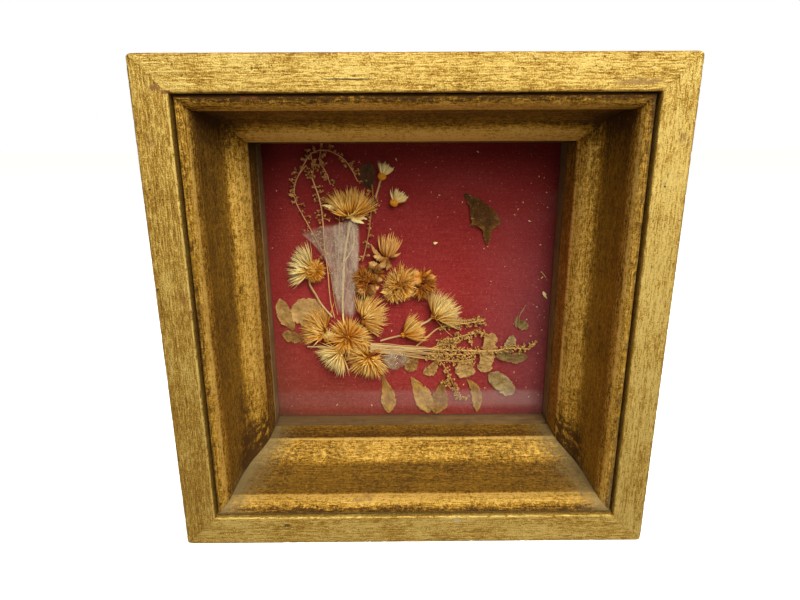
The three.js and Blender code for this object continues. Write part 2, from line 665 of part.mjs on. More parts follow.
      stalk: [[-0.715, 0.05], [-0.675, -0.035], [-0.63, -0.12], [-0.565, -0.20]] }] },
  { name: 'head_top_fan', material: straw, heads: [
    { placeShares: [-0.414, 0.53], aim: 86, fan: 88, reachShare: 1.02, bracts: 10 }] },
  { name: 'head_bell', material: rust, heads: [
    { placeShares: [-0.175, 0.236], aim: 78, fan: 30, reachShare: 0.78, bracts: 5 }],
    leaves: [
      { ribShares: [[-0.19, 0.22], [-0.24, 0.27], [-0.28, 0.33]], widthShare: 0.3, form: 'oval',
        lift: [calyxRadius, calyxRadius] },
      { ribShares: [[-0.16, 0.235], [-0.12, 0.25], [-0.08, 0.26]], widthShare: 0.25, form: 'oval',
        lift: [calyxRadius, calyxRadius] },
    ] },
  { name: 'head_brown_tuft', material: rust, heads: [
    { placeShares: [-0.33, 0.08], aim: 105, fan: 50, reachShare: 0.5, bracts: 5 },
    { placeShares: [-0.255, 0.125], aim: 15, fan: 70, reachShare: 0.44, bracts: 5, stalk: [[-0.33, 0.08]],
      stalkHeight: calyxRadius / 2 }] },
  { name: 'head_frilly', material: straw, heads: [
    { placeShares: [-0.09, 0.045], aim: 75, fan: 150, reachShare: 0.58, bracts: 9 }] },
  { name: 'head_brown_right', material: rust, heads: [
    { placeShares: [0.085, 0.07], aim: 25, fan: 70, reachShare: 0.5, bracts: 6 },
    { placeShares: [0.07, -0.01], aim: -85, fan: 60, reachShare: 0.4, bracts: 4, stalk: [[0.085, 0.07]],
      stalkHeight: calyxRadius / 2 }],
    leaves: [
      { ribShares: [[0.08, 0.07], [0.045, 0.105], [0.03, 0.14]], widthShare: 0.5, form: 'broad',
        lift: [calyxRadius / 3, calyxRadius / 3] },
    ] },
  { name: 'head_small_right', material: straw, heads: [
    { placeShares: [-0.054, -0.335], aim: 30, fan: 48, reachShare: 0.84, bracts: 7,
      stalk: [[-0.14, -0.36], [-0.225, -0.385]] }] },
  { name: 'head_pale_right', material: paleStraw, heads: [
    { placeShares: [0.165, -0.195], aim: 37, fan: 60, reachShare: 0.98, bracts: 9,
      stalk: [[0.12, -0.235], [0.065, -0.265]] }] },
  { name: 'bud_upper', material: paleStraw, heads: [
    { placeShares: [-0.197, 0.78], aim: 66, fan: 45, reachShare: 0.48, bracts: 5,
      stalk: [[-0.225, 0.70], [-0.24, 0.645]] }] },
  { name: 'bud_right', material: paleStraw, heads: [
    { placeShares: [-0.118, 0.605], aim: 52, fan: 50, reachShare: 0.5, bracts: 5 }] },
  { name: 'bud_low_left', material: paleStraw, heads: [
    { placeShares: [-0.62, -0.37], aim: 60, fan: 50, reachShare: 0.4, bracts: 4 }] },
];

function pieceSolid({ leaves = [], stems = [], heads = [], glue }, grow) {
  return wasm.Manifold.union([
    ...leaves.map((leaf) => leafSolid(leaf, grow)),
    ...stems.map((stem) => stemSolid(stem, grow)),
    ...stems.flatMap((stem) => seedSolids(stem, grow)),
    ...heads.flatMap((head) => headSolids(head, grow)),
    ...(glue ? [glueSolid(glue, grow)] : []),
  ]);
}

// Each later piece is cut back from what lies behind or beside it, with the fit gap all round
let taken = boxSolid([-halfWidth, clothY, 0], [halfWidth, clothY + clothThickness, stackGap]);
for (const piece of arrangement) {
  const solid = mainBody(pieceSolid(piece, 0).intersect(room).subtract(taken));
  taken = taken.add(pieceSolid(piece, fitGap));
  addPiece(piece.name, geometryOf(solid), piece.material);
}

export default box;
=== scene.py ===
# %% [markdown]
# # A dried flower shadow box
# The real thing is a deep gilt frame with a moulded liner, a pane of glass, and behind it a panel of red
# cloth that carries a crescent of dried flower heads, seed sprays and leaves.
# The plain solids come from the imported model. This script dresses them: each visible piece is a surface
# worked out with numpy, in metres, in the same frame as the solids, so nothing has to be fitted by hand.

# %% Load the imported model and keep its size
import math
from types import SimpleNamespace

import bpy
import numpy as np
from mathutils import Matrix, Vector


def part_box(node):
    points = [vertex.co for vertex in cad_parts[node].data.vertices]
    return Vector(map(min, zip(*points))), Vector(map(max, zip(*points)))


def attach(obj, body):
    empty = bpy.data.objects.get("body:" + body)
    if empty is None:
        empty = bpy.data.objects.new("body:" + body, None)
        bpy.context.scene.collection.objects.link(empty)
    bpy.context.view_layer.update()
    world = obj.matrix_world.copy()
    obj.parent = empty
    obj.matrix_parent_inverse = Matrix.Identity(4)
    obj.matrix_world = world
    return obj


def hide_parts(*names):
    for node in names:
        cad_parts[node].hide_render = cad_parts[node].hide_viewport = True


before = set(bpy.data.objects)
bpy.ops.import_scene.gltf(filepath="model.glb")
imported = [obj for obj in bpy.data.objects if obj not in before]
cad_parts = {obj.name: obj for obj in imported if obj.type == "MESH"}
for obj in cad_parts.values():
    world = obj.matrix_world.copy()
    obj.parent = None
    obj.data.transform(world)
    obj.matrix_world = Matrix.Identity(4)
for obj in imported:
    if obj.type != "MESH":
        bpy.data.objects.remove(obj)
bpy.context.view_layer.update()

# %% [markdown]
# ## Places that everything else is measured from
# The frame is square and stands on the floor. Its front plane, the cloth and the glass are read from the
# solids, so the dressed pieces follow them if the model changes. Places in the flower panel are given in
# thousandths of half the window, counted from its centre, with a height in front of the cloth.

# %% Main places
MM = 0.001
rim_low, rim_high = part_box("outer_rail_top")
HALF, REAR, TALL = rim_high
MIDDLE = TALL / 2
FRONT = rim_low[1]
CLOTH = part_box("cloth_facing")[0][1]
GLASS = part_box("glass_pane")[1][1]
SPAN = 70 * MM
MITRE_GAP = 0.05 * MM
SIDES = ("top", "bottom", "left", "right")
print("front", FRONT, "cloth", CLOTH, "back of the glass", GLASS)


def panel(places, heights):
    """World points of a flat row of x and z, in thousandths, at heights in millimetres: x = share * span,
    y = cloth - height, z = middle + share * span."""
    places = np.reshape(places, (-1, 2)) / 1000
    heights = np.broadcast_to(np.asarray(heights, float) * MM, len(places))
    return np.stack([places[:, 0] * SPAN, CLOTH - heights, MIDDLE + places[:, 1] * SPAN], -1)


# %% [markdown]
# ## Camera
# The photograph looks down into the box from just above, with a wide lens close to the frame, which is why
# the far edges crowd together. Three turns and a place were solved from the frame's corners, and a matrix
# built from the three view directions sets them exactly.


# %% Camera at the photograph's view
def put(name, data):
    """A new object with that data, in the scene."""
    thing = bpy.data.objects.new(name, data)
    bpy.context.scene.collection.objects.link(thing)
    return thing


def turned(x_way, y_way, z_way, place):
    """The matrix that turns an object's axes to three directions and moves it to a place."""
    return Matrix(np.vstack([np.column_stack([x_way, y_way, z_way, place]), [0, 0, 0, 1]]).tolist())


YAW, PITCH, ROLL = (math.radians(angle) for angle in (0.31, -16.25, -0.28))
ahead = np.array([math.sin(YAW) * math.cos(PITCH), math.cos(YAW) * math.cos(PITCH), math.sin(PITCH)])
level = np.array([math.cos(YAW), -math.sin(YAW), 0])
above = np.cross(level, ahead)
right = math.cos(ROLL) * level + math.sin(ROLL) * above
up = math.cos(ROLL) * above - math.sin(ROLL) * level
camera = put("camera", bpy.data.cameras.new("camera"))
bpy.context.scene.camera = camera
camera.data.sensor_width, camera.data.lens = 36, 25.64
camera.data.clip_start, camera.data.clip_end = 0.005, 50
eye = np.array([-0.035, -1.058, 0.365]) * 2 * HALF + np.array([0, FRONT, MIDDLE])
camera.matrix_world = turned(right, up, -ahead, eye)
print("camera at", eye.round(4))

# %% [markdown]
# ## Materials written as sums
# A procedural finish is a web of small nodes. Wiring it by hand hides the idea, so one class wraps a socket
# and lets Python's own operators add Math nodes: `1 - mask * 0.5` is then a line of maths. Any other node
# comes from the finish's one method, which takes the node's type, its settings and its inputs.


# %% A socket that can be added and multiplied
class Socket:
    """One output of a node. Arithmetic on it adds a Math node and gives that node's output."""

    def __init__(self, finish, output):
        self.finish, self.output = finish, output

    def _math(self, operation, first, second):
        return self.finish.node("Math", {0: first, 1: second}, operation=operation)

    def __add__(self, other):
        return self._math("ADD", self, other)

    def __sub__(self, other):
        return self._math("SUBTRACT", self, other)

    def __rsub__(self, other):
        return self._math("SUBTRACT", other, self)

    def __mul__(self, other):
        return self._math("MULTIPLY", self, other)

    __radd__ = __add__


class Finish:
    """A material with one Principled shader, whose fixed sockets are set by name when it is made. Its
    slot is kept but not used."""

    def __init__(self, name, slot=None, **fixed):
        self.slot = slot
        self.material = bpy.data.materials.new(name)
        self.material.use_nodes = True
        self.tree = self.material.node_tree
        self.shader = self.tree.nodes["Principled BSDF"]
        for socket, value in fixed.items():
            self.shader.inputs[socket.replace("_", " ")].default_value = value

    def node(self, kind, inputs=(), output=0, stops=None, **settings):
        """Adds a node of that type: settings first, then the value or the link of each socket."""
        made = self.tree.nodes.new("ShaderNode" + kind)
        for name, value in settings.items():
            setattr(made, name, value)
        if stops:
            ramp = made.color_ramp.elements
            while len(ramp) < len(stops):
                ramp.new(0.5)
            for element, (place, colour) in zip(ramp, stops):
                element.position, element.color = place, (*colour, 1)
        for name, value in dict(inputs).items():
            if isinstance(value, Socket):
                self.tree.links.new(value.output, made.inputs[name])
            else:
                made.inputs[name].default_value = value
        return Socket(self, made.outputs[output])

    def place(self, stretch=(1, 1, 1), turn=0, uv=False):
        """Object coordinates, or the piece's own UV map, turned about Z and multiplied by stretch."""
        source = self.node("TexCoord", output="UV" if uv else "Object")
        return self.node("Mapping", {"Vector": source, "Scale": stretch, "Rotation": (0, 0, turn)})

    def axis(self, letter, **where):
        """One coordinate of the place."""
        return self.node("SeparateXYZ", {0: self.place(**where)}, output=letter)

    def noise(self, scale=1, detail=4, roughness=0.55, **where):
        """Layered noise from 0 to 1, with that many features to a unit of the place."""
        return self.node("TexNoise", {"Vector": self.place(**where), "Scale": scale, "Detail": detail,
                                      "Roughness": roughness})

    def attribute(self, name):
        """A number that was worked out for each vertex of the piece."""
        return self.node("Attribute", output="Fac", attribute_name=name)

    def ramp(self, value, *stops):
        """A colour that goes through the stops, each a place from 0 to 1 and a colour."""
        return self.node("ValToRGB", {"Fac": value}, stops=stops)

    def between(self, value, low, high):
        """0 below low, 1 above high, and a straight rise from one to the other."""
        return self.node("MapRange", {"Value": value, "From Min": low, "From Max": high})

    def mix(self, share, first, second):
        """A colour that goes from first to second as share goes from 0 to 1."""
        ends = [end if isinstance(end, Socket) else (*end, 1) for end in (first, second)]
        return self.node("Mix", {0: share, 6: ends[0], 7: ends[1]}, output=2, data_type="RGBA")

    def layers(self, colour, *tones):
        """The colour with tones laid over it in turn, each by its own share."""
        for share, tone in tones:
            colour = self.mix(share, colour, tone)
        return colour

    def drive(self, **sockets):
        """Links what changes over the surface to the shader's sockets."""
        for name, value in sockets.items():
            self.tree.links.new(value.output, self.shader.inputs[name.replace("_", " ")])
        return self

    def over(self, under, mask):
        """Shows the other shader where mask is 0 and the Principled one where it is 1."""
        mixed = self.node("MixShader", {0: mask, 1: under, 2: Socket(self, self.shader.outputs["BSDF"])})
        self.tree.links.new(mixed.output, self.tree.nodes["Material Output"].inputs["Surface"])

    def bump(self, height, distance, strength=1.0):
        """Small relief that only the shading sees, distance metres deep where height is 1."""
        self.drive(Normal=self.node("Bump", {"Height": height, "Distance": distance,
                                             "Strength": strength}))
        return self


print("finish class ready")

# %% [markdown]
# ## Floor and light
# The photograph was taken on white, in soft light from above and in front. A white sky that is dim for
# everything but the camera keeps the inside of the box from going flat, and two large soft lamps give the
# bright band on the lower moulding and the darker one under the top rail.

# %% Floor, sky and lamps
floor = put("floor", bpy.data.meshes.new("floor"))
WIDE = 6.0
floor.data.from_pydata([(-WIDE, -WIDE, 0), (WIDE, -WIDE, 0), (WIDE, WIDE, 0), (-WIDE, WIDE, 0)], [],
                       [(0, 1, 2, 3)])
paper = Finish("pale_floor", Roughness=0.9, Specular_IOR_Level=0.1, Emission_Color=(1, 1, 1, 1),
               Emission_Strength=0.8)
paper.drive(Base_Color=paper.ramp(paper.noise(3), (0.3, (0.82, 0.82, 0.81)), (0.7, (0.86, 0.86, 0.85))))
seen = paper.node("LightPath", output="Is Camera Ray")
matt = paper.node("BsdfDiffuse", {"Color": (0.3, 0.28, 0.26, 1)}, output="BSDF")
paper.over(matt, seen)
floor.data.materials.append(paper.material)

WARM = (1.0, 0.93, 0.80)
world = bpy.data.worlds.new("sky")
bpy.context.scene.world = world
world.use_nodes = True
sky = world.node_tree
sky.nodes["Background"].inputs["Strength"].default_value = 0.25
seen = sky.nodes.new("ShaderNodeBackground")
choose = sky.nodes.new("ShaderNodeMixShader")
sky.links.new(sky.nodes.new("ShaderNodeLightPath").outputs["Is Camera Ray"], choose.inputs[0])
for number, (source, tint) in enumerate(((sky.nodes["Background"], WARM), (seen, (1, 1, 1)))):
    source.inputs["Color"].default_value = (*tint, 1)
    sky.links.new(source.outputs[0], choose.inputs[number + 1])
sky.links.new(choose.outputs[0], sky.nodes["World Output"].inputs["Surface"])


def lamp(name, place, aim, size, power):
    """A square soft lamp with a warm tint: it stands at place and its face looks at aim."""
    light = bpy.data.lights.new(name, "AREA")
    light.size, light.energy, light.color = size, power, WARM
    back = np.array(place, float) - np.array(aim, float)
    back /= np.linalg.norm(back)
    side = np.cross([0, 1, 0.01], back)
    side /= np.linalg.norm(side)
    put(name, light).matrix_world = turned(side, np.cross(back, side), back, place)


lamp("overhead", (0.0, -0.40, 1.15), (0, 0, 0.1), 0.8, 8)
lamp("front_window", (0.38, -1.15, 0.95), (0, 0, 0.1), 0.8, 22.5)
bpy.context.scene.view_settings.view_transform = "Standard"
print("floor, sky and two lamps")

# %% [markdown]
# ## Shapes as arrays
# Nearly everything here is a section carried along a path: a rail is a moulding carried from mitre to
# mitre, and a stem, a bract, a seed or a leaf is a ring that swells and thins on its way. The helpers below
# work on whole arrays, also on many paths at once, and close both ends.

# %% Noise, curves and lofts
CELLS = 256
tables = np.random.default_rng(7).random((8, CELLS, CELLS)) * 2 - 1


def soft_noise(x, y, seed=0):
    """A smooth number from -1 to 1 at each (x, y): the four nearest entries of a table of random numbers,
    blended across and up with the weight 3t^2 - 2t^3."""
    x, y = np.broadcast_arrays(np.asarray(x, float), np.asarray(y, float))
    left, low = np.floor(x).astype(int), np.floor(y).astype(int)
    a, b = x - left, y - low
    a, b = a * a * (3 - 2 * a), b * b * (3 - 2 * b)
    table = tables[seed % len(tables)]

    def entry(right, over):
        return table[(left + right) % CELLS, (low + over) % CELLS]
    return ((1 - a) * (1 - b) * entry(0, 0) + a * (1 - b) * entry(1, 0)
            + (1 - a) * b * entry(0, 1) + a * b * entry(1, 1))


def spline(points, count):
    """A smooth curve through the points: between two of them it is the cubic whose slope at each is half
    the step from the point before to the point after. count places, evenly along."""
    points = np.asarray(points, float)
    padded = np.vstack([2 * points[0] - points[1], points, 2 * points[-1] - points[-2]])
    along = np.linspace(0, len(points) - 1, count)
    spot = np.minimum(along.astype(int), len(points) - 2)
    t = (along - spot)[:, None]
    p0, p1, p2, p3 = (padded[spot + k] for k in range(4))
    return 0.5 * (2 * p1 + (p2 - p0) * t + (2 * p0 - 5 * p1 + 4 * p2 - p3) * t ** 2
                  + (3 * p1 - p0 - 3 * p2 + p3) * t ** 3)


def unit(vectors):
    """Each vector divided by its own length."""
    return vectors / np.maximum(np.linalg.norm(vectors, axis=-1, keepdims=True), 1e-12)


def rise(values, start, width):
    """0 up to start, 1 from start + width on, and a straight rise between them."""
    return np.clip((values - start) / width, 0, 1)


def blend(ends, share):
    """From the first of ends to the second as share goes from 0 to 1."""
    return ends[0] + (ends[1] - ends[0]) * share


def lanes(path):
    """Directions along a path, across it in the panel, and out of the panel."""
    run = unit(np.gradient(path, axis=0))
    side = unit(np.cross(run, [0, 1, 0.001]))
    return run, side, np.cross(side, run)


def keep_inside(points, before, behind):
    """Keeps points between glass and cloth, with that many millimetres to spare at each."""
    points[..., 1] = np.clip(points[..., 1], GLASS + before * MM, CLOTH - behind * MM)


def loft(path, across, outward, width, thickness, section):
    """Rings carried along paths: point = path + width * section x * across + thickness * section y *
    outward. path, across and outward end in (rows, 3), width and thickness in (rows)."""
    return (path[..., None, :]
            + (width[..., None] * section[:, 0])[..., None] * across[..., None, :]
            + (thickness[..., None] * section[:, 1])[..., None] * outward[..., None, :])


def tube_faces(rows, sides, copies=1):
    """Quads round and along a grid of rings, and a cap on each end, repeated for each copy."""
    row, side = np.meshgrid(np.arange(rows - 1), np.arange(sides), indexing="ij")
    after = (side + 1) % sides
    quads = np.stack([row * sides + side, row * sides + after, (row + 1) * sides + after,
                      (row + 1) * sides + side], -1).reshape(-1, 4)
    starts = np.arange(copies)[:, None, None] * rows * sides
    caps = np.stack([np.arange(sides)[::-1], (rows - 1) * sides + np.arange(sides)])
    return [(quads + starts).reshape(-1, 4), (caps + starts).reshape(-1, sides)]


def ring(sides):
    """Points evenly round a circle of radius 1."""
    turn = 2 * np.pi * np.arange(sides) / sides
    return np.stack([np.cos(turn), np.sin(turn)], -1)


print("helpers ready")

# %% [markdown]
# A piece collects lofts until it is finished: then its vertices, faces, UV map and attributes go into one
# mesh. The object stays at the origin, because its place is in its mesh, as it is in the solids.


# %% A piece that grows loft by loft
class Piece:
    """Vertices, faces and numbers per vertex of one piece, in world metres."""

    def __init__(self):
        self.points, self.faces, self.numbers, self.count = [], [], [], 0

    def add(self, points, faces, **numbers):
        """points is any array ending in 3, faces are arrays that index it, numbers have its shape without
        the 3."""
        flat = points.reshape(-1, 3)
        shape = points.shape[:-1]
        self.points.append(flat)
        self.faces += [corners + self.count for corners in faces]
        self.numbers.append({name: np.broadcast_to(value, shape).reshape(-1)
                             for name, value in numbers.items()})
        self.count += len(flat)
        return self

    def loft(self, path, across, outward, width, thickness, section, **numbers):
        """Adds lofted rings. A path with three axes is many paths of the same length."""
        rings = loft(path, across, outward, width, thickness, section)
        copies = int(np.prod(rings.shape[:-3]))
        rows, sides = rings.shape[-3:-1]
        return self.add(rings, tube_faces(rows, sides, copies), **numbers)

    def finish(self, name, finish, node=None, slot=None, sharp=None):
        """Makes the mesh and object, with UV from the numbers u and v, and attaches it to the root body. It
        takes the place of the node, or of the one with its own name, if there is one."""
        mesh = bpy.data.meshes.new(name)
        faces = [face for corners in self.faces for face in corners.tolist()]
        mesh.from_pydata(np.vstack(self.points).tolist(), [], faces)
        names = {key for part in self.numbers for key in part}
        values = {key: np.concatenate([part.get(key, np.zeros(size)) for part, size
                                       in zip(self.numbers, map(len, self.points))])
                  for key in sorted(names)}
        if "u" in values:
            corners = np.zeros(len(mesh.loops), int)
            mesh.loops.foreach_get("vertex_index", corners)
            layer = mesh.uv_layers.new(name="UVMap")
            layer.data.foreach_set("uv", np.stack([values.pop("u"), values.pop("v")],
                                                  -1)[corners].ravel())
        for key, value in values.items():
            mesh.attributes.new(key, "FLOAT", "POINT").data.foreach_set("value", value.astype(float))
        mesh.shade_smooth()
        if sharp:
            mesh.set_sharp_from_angle(angle=math.radians(sharp))
        mesh.validate()
        mesh.materials.append(finish.material)
        thing = put(name, mesh)
        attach(thing, "root")
        if (node or name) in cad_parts:
            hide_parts(node or name)
        print(name, len(mesh.vertices), "vertices")
        return thing


# %% [markdown]
# ## Gilding
# The mouldings were gilded by hand over a dark ground and then rubbed: fine streaks run along each rail,
# the dark ground shows in pits and hollows, and the arrises are bright. The streaks follow the rail, so
# they read the piece's UV map, where u is the way along and v the way round the moulding, in metres. What
# depends on the shape, such as rubbed arrises, dust in the crevice and bare wood behind, comes as a number
# for each vertex. The rub number also carries painted highlights and the hollow number painted shade, set
# for how each side of the frame is lit.


# %% Gilt finish
# Marks on the rim: x and z from its middle and their half widths, in millimetres, and a colour.
WORMHOLE, SCRATCH, STAIN = (0.02, 0.012, 0.006), (0.09, 0.05, 0.02), (0.36, 0.22, 0.08)
BOLE, CHALK = (0.25, 0.11, 0.04), (0.7, 0.62, 0.42)
RIM_MARKS = (
    (-92.7, 99.3, 0.45, 0.45, WORMHOLE), (-57.4, 96.5, 0.5, 0.45, WORMHOLE),
    (-50.4, 97.1, 0.35, 0.35, WORMHOLE), (-98.4, 54.6, 0.6, 0.5, WORMHOLE),
    (-94.1, 50.9, 0.45, 0.45, WORMHOLE), (-100.2, 16.2, 0.7, 0.9, WORMHOLE),
    (-24.7, -94.4, 0.5, 0.5, WORMHOLE), (-56.5, -92.0, 2.0, 0.8, SCRATCH), (-24.3, 92.5, 12.5, 0.5, SCRATCH),
    (79.5, 91.4, 10.0, 1.5, STAIN), (-92.5, 90.1, 2.6, 1.6, BOLE), (-88.5, 88.4, 3.0, 0.9, BOLE),
    (18.8, -90.2, 2.0, 1.1, CHALK), (92.6, 54.7, 0.4, 0.5, WORMHOLE), (63.3, 96.7, 0.35, 0.35, WORMHOLE))
OLD_WOOD = (0.1, (0.06, 0.035, 0.018)), (0.35, (0.22, 0.13, 0.065)), (0.65, (0.43, 0.27, 0.14))
BOLE_RED, GREY_DUST, PALE_GOLD = (0.2, 0.062, 0.024), (0.235, 0.175, 0.074), (1.0, 0.88, 0.42)


def tinted(first, second, share):
    """A fixed colour between two others."""
    return tuple((1 - share) * one + share * two for one, two in zip(first, second))


def gilding(name, slot, bright, middle, ground, metal, worn, marks=()):
    """Gold over a dark ground: colour = streaks and pits through a ramp, then the vertex numbers, then
    single marks, each a soft spot round its place."""
    gilt = Finish(name, slot, Specular_IOR_Level=0.22)
    streaks = gilt.noise(1, 5, 0.7, stretch=(75, 1700, 1), uv=True)
    strokes = gilt.noise(1, 4, 0.6, stretch=(22, 330, 1), uv=True)
    dashes = gilt.noise(1, 4, 0.75, stretch=(250, 1500, 1), uv=True)
    grain = gilt.noise(1900, 3, 0.8)
    hollow, rub, dust, bare, calm = map(gilt.attribute, ("hollow", "rub", "dust", "bare", "calm"))
    leaf = streaks * 0.75 + strokes * 0.4 + gilt.noise(55, 5, 0.65) * 0.4 + dashes * 1.0 + grain * 0.85 - 1.7
    leaf = leaf + (gilt.noise(620, 4, 0.85) - 0.5) * worn
    # rub brightens the gold where it is rubbed and where a highlight is painted; hollow darkens it in hollows
    # and where shade is painted.
    leaf = leaf * (1 - calm) + 0.5 + rub * 0.12 - hollow * 0.16
    colour = gilt.ramp(leaf, (0.26, ground), (0.39, tinted(middle, ground, 0.5)), (0.5, middle),
                       (0.66, bright), (0.86, tinted(bright, PALE_GOLD, 0.25)))
    pits = gilt.between(gilt.noise(520, 3, 0.8), 0.63, 0.7) * 0.8
    bole = gilt.between(gilt.noise(60, 4, 0.7), 0.62, 0.7) * 0.5
    grime = gilt.between(gilt.noise(260, 4, 0.7) + (grain - 0.5) * 1.6 + dust, 0.68, 1.3)
    grime = grime * gilt.between(dust, 0.02, 0.2)
    wood = gilt.ramp(gilt.noise(stretch=(25, 900, 1), uv=True) - hollow * 0.2, *OLD_WOOD)
    colour = gilt.layers(colour, (pits, tinted(ground, (0, 0, 0), 0.5)), (bole, BOLE_RED),
                         (grime * 0.85, GREY_DUST), (bare, wood))
    for place, reach, tone in marks:
        away = gilt.node("VectorMath", {0: gilt.place(), 1: place}, operation="SUBTRACT")
        away = gilt.node("VectorMath", {0: away, 1: reach}, operation="DIVIDE")
        far = gilt.node("VectorMath", {0: away}, output="Value", operation="LENGTH")
        broken = far + (dashes - 0.5) * 2.4 + (grain - 0.5) * 0.9
        colour = gilt.mix(gilt.between(broken, 1.0, 0.45) * 0.85, colour, tone)
    gold = gilt.between(leaf, 0.3, 0.5) * (1 - pits) * (1 - grime) * (1 - bare)
    gilt.drive(Base_Color=colour, Metallic=gold * metal, Roughness=0.74 - gold * 0.34 + grain * 0.1)
    return gilt.bump(streaks * 0.6 + strokes * 0.4 + grain * 0.9 + dashes * 0.5 - pits, 0.0004, 0.9)


MARKS = [((x * MM, FRONT, MIDDLE + z * MM), (across * MM, 2 * MM, high * MM), tone)
         for x, z, across, high, tone in RIM_MARKS]
rim_gilt = gilding("rubbed_gilt_rim", "gilt_rim", (0.775, 0.59, 0.18), (0.465, 0.272, 0.04),
                   (0.105, 0.05, 0.008), 0.85, 0.35, MARKS)
liner_gilt = gilding("rubbed_gilt_liner", "gilt_liner", (0.77, 0.50, 0.11), (0.44, 0.238, 0.022),
                     (0.064, 0.026, 0.002), 0.6, 1.1)
print("gilding for the rim and the liner")

# %% [markdown]
# ## Mouldings
# A frame maker runs the moulding first and mitres it afterwards. The outline is a list of straight and
# bent stretches in inset from the frame's edge and depth from its front, and each of its points is carried
# from one mitre to the other. The wood is pushed in a little by noise, never out, so the size holds.


# %% Outline stretches and rails
def bend(*controls, steps=14):
    """A curve pulled by its control points: points are blended two by two, share by share, until one is
    left. It leaves out its last point, because the next stretch starts there."""
    t = np.linspace(0, 1, steps, endpoint=False)[:, None]
    layer = [np.broadcast_to(np.array(control, float), (steps, 2)) for control in controls]
    while len(layer) > 1:
        layer = [(1 - t) * one + t * two for one, two in zip(layer, layer[1:])]
    return layer[0]


def straight(start, end, steps):
    """Points evenly from start up to, but without, end."""
    return bend(start, end, steps=steps)


CORNER = 2.6 * MM


def rail_points(side, inset, depth, along):
    """World points of a rail: across = along * (half - inset - gap), and the side turns it into place. A
    point past both edges of the outer corner's square is drawn back onto its rounding."""
    across = along * (HALF - inset - MITRE_GAP)
    height = MIDDLE + along * (MIDDLE - inset - MITRE_GAP)
    x, z = {"top": (across, TALL - inset), "bottom": (across, inset),
            "left": (inset - HALF, height), "right": (HALF - inset, height)}[side]
    points = np.stack(np.broadcast_arrays(x, FRONT + depth, z), -1)
    middle = np.array([0, 0, MIDDLE])
    inner = np.array([HALF, 0, MIDDLE]) - CORNER * np.array([1, 0, 1])
    past = np.maximum(np.abs(points - middle) - inner, 0) * [1, 0, 1]
    far = np.linalg.norm(past, axis=-1, keepdims=True)
    both = (past[..., :1] > 0) & (past[..., 2:] > 0) & (far > CORNER)
    rounded = np.sign(points - middle) * (inner + past * (CORNER / np.maximum(far, CORNER))) + middle
    return np.where(both & np.array([True, False, True]), rounded, points)


def nearness(points, places, reach):
    """1 at the nearest of the places and fading as exp(-(distance / reach)^2)."""
    gaps = np.linalg.norm(points[:, None] - np.array(places) * MM, axis=-1).min(1)
    return np.exp(-(gaps / (reach * MM)) ** 2)


def from_mitre(along):
    """How many millimetres each row of a rail is from its nearer mitre."""
    return (1 - np.abs(along[:, None])) * HALF / MM


def carve(side, outline, along, arrises, seed, nails=()):
    """A rail's ring points, its UV numbers, its arrises and its chips. Each outline point moves inwards
    along its own normal by a soft wave, fine streaks and chips, which are deepest at the arrises. A nail
    hole has its place along the rail, its depth from the front, its radius and how far it sinks."""
    run = np.roll(outline, -1, 0) - np.roll(outline, 1, 0)
    normal = unit(np.stack([run[:, 1], -run[:, 0]], -1))
    twice_area = np.sum(outline[:, 0] * np.roll(outline[:, 1], -1)
                        - np.roll(outline[:, 0], -1) * outline[:, 1])
    normal *= np.sign(twice_area)
    arc = np.concatenate([[0], np.cumsum(np.linalg.norm(np.diff(outline, axis=0), axis=1))])
    u = along[:, None] * HALF
    edge = nearness(outline, arrises, 0.55)
    wave = 0.5 + 0.5 * soft_noise(u * 60 + seed * 9, arc / MM / 3, seed)
    streak = 0.5 + 0.5 * soft_noise(u * 260, arc / MM * 2.2 + seed * 5, seed + 1)
    chip = np.clip(soft_noise(u * 900 + seed * 31, arc / MM * 0.9, seed + 2) * 2 - 0.7, 0, 1)
    push = (0.05 * wave + 0.025 * streak + 0.22 * chip * edge) * MM
    height = np.zeros_like(push)
    for centre, depth, radius, drop in nails:
        gap = np.hypot(along[:, None] * HALF - centre, outline[:, 1] - depth)
        height += np.where(outline[:, 0] < 0.2 * MM, drop * np.clip((radius - gap) / (0.3 * MM), 0, 1), 0)
    moved = outline - (push + height)[..., None] * normal
    points = rail_points(side, moved[..., 0], moved[..., 1], along[:, None])
    return points, dict(u=u, v=arc + seed * 0.037), edge, chip


print("moulding helpers ready")

# %% [markdown]
# ## Outer rim
# Four flat rails with eased edges, as deep as the box. Their fronts are the brightest gold, their outer
# sides are plainer, and the backs were left bare. A nail holds each mitre from the side, in a small hole.

# %% Outer rails
RIM, EASE, DEEP = 13.5, 0.9, (REAR - FRONT) / MM
# For each side: how rubbed its face is, which from side to side also paints how that side is lit; how bright
# its inner edge is, rubbed gold with a painted highlight; and how dark the wood inside the groove is, dark
# wood with painted shade.
RIM_LOOKS = (0.7, 0.0, 0.7), (0.75, 1.5, 1.4), (0.0, 2.4, 1.4), (1.05, 0.4, 1.4)
outer_outline = np.vstack([
    straight((RIM, DEEP), (0, DEEP), 4), straight((0, DEEP), (0, 38), 12), straight((0, 38), (0, 30), 28),
    straight((0, 30), (0, EASE), 14), bend((0, EASE), (0, 0), (EASE, 0), steps=6),
    straight((EASE, 0), (RIM - EASE, 0), 40), bend((RIM - EASE, 0), (RIM, 0), (RIM, EASE), steps=6),
    straight((RIM, EASE), (RIM, DEEP), 24)]) * MM
nail_place = MIDDLE - RIM * MM / 2
fine = np.linspace(-3, 3, 21) * MM
even = np.linspace(-1, 1, 300)
beside = np.concatenate([(nail_place + fine) / HALF, (fine - nail_place) / HALF])
along_side = np.sort(np.concatenate([even, beside[np.abs(beside) < 1]]))
inset, depth = outer_outline.T / MM
back = rise(depth, 62, 4)
inner = (inset > 13.4) * rise(depth, 2.4, 2)
side_face = (inset < 0.2) * rise(depth, 1, 3)
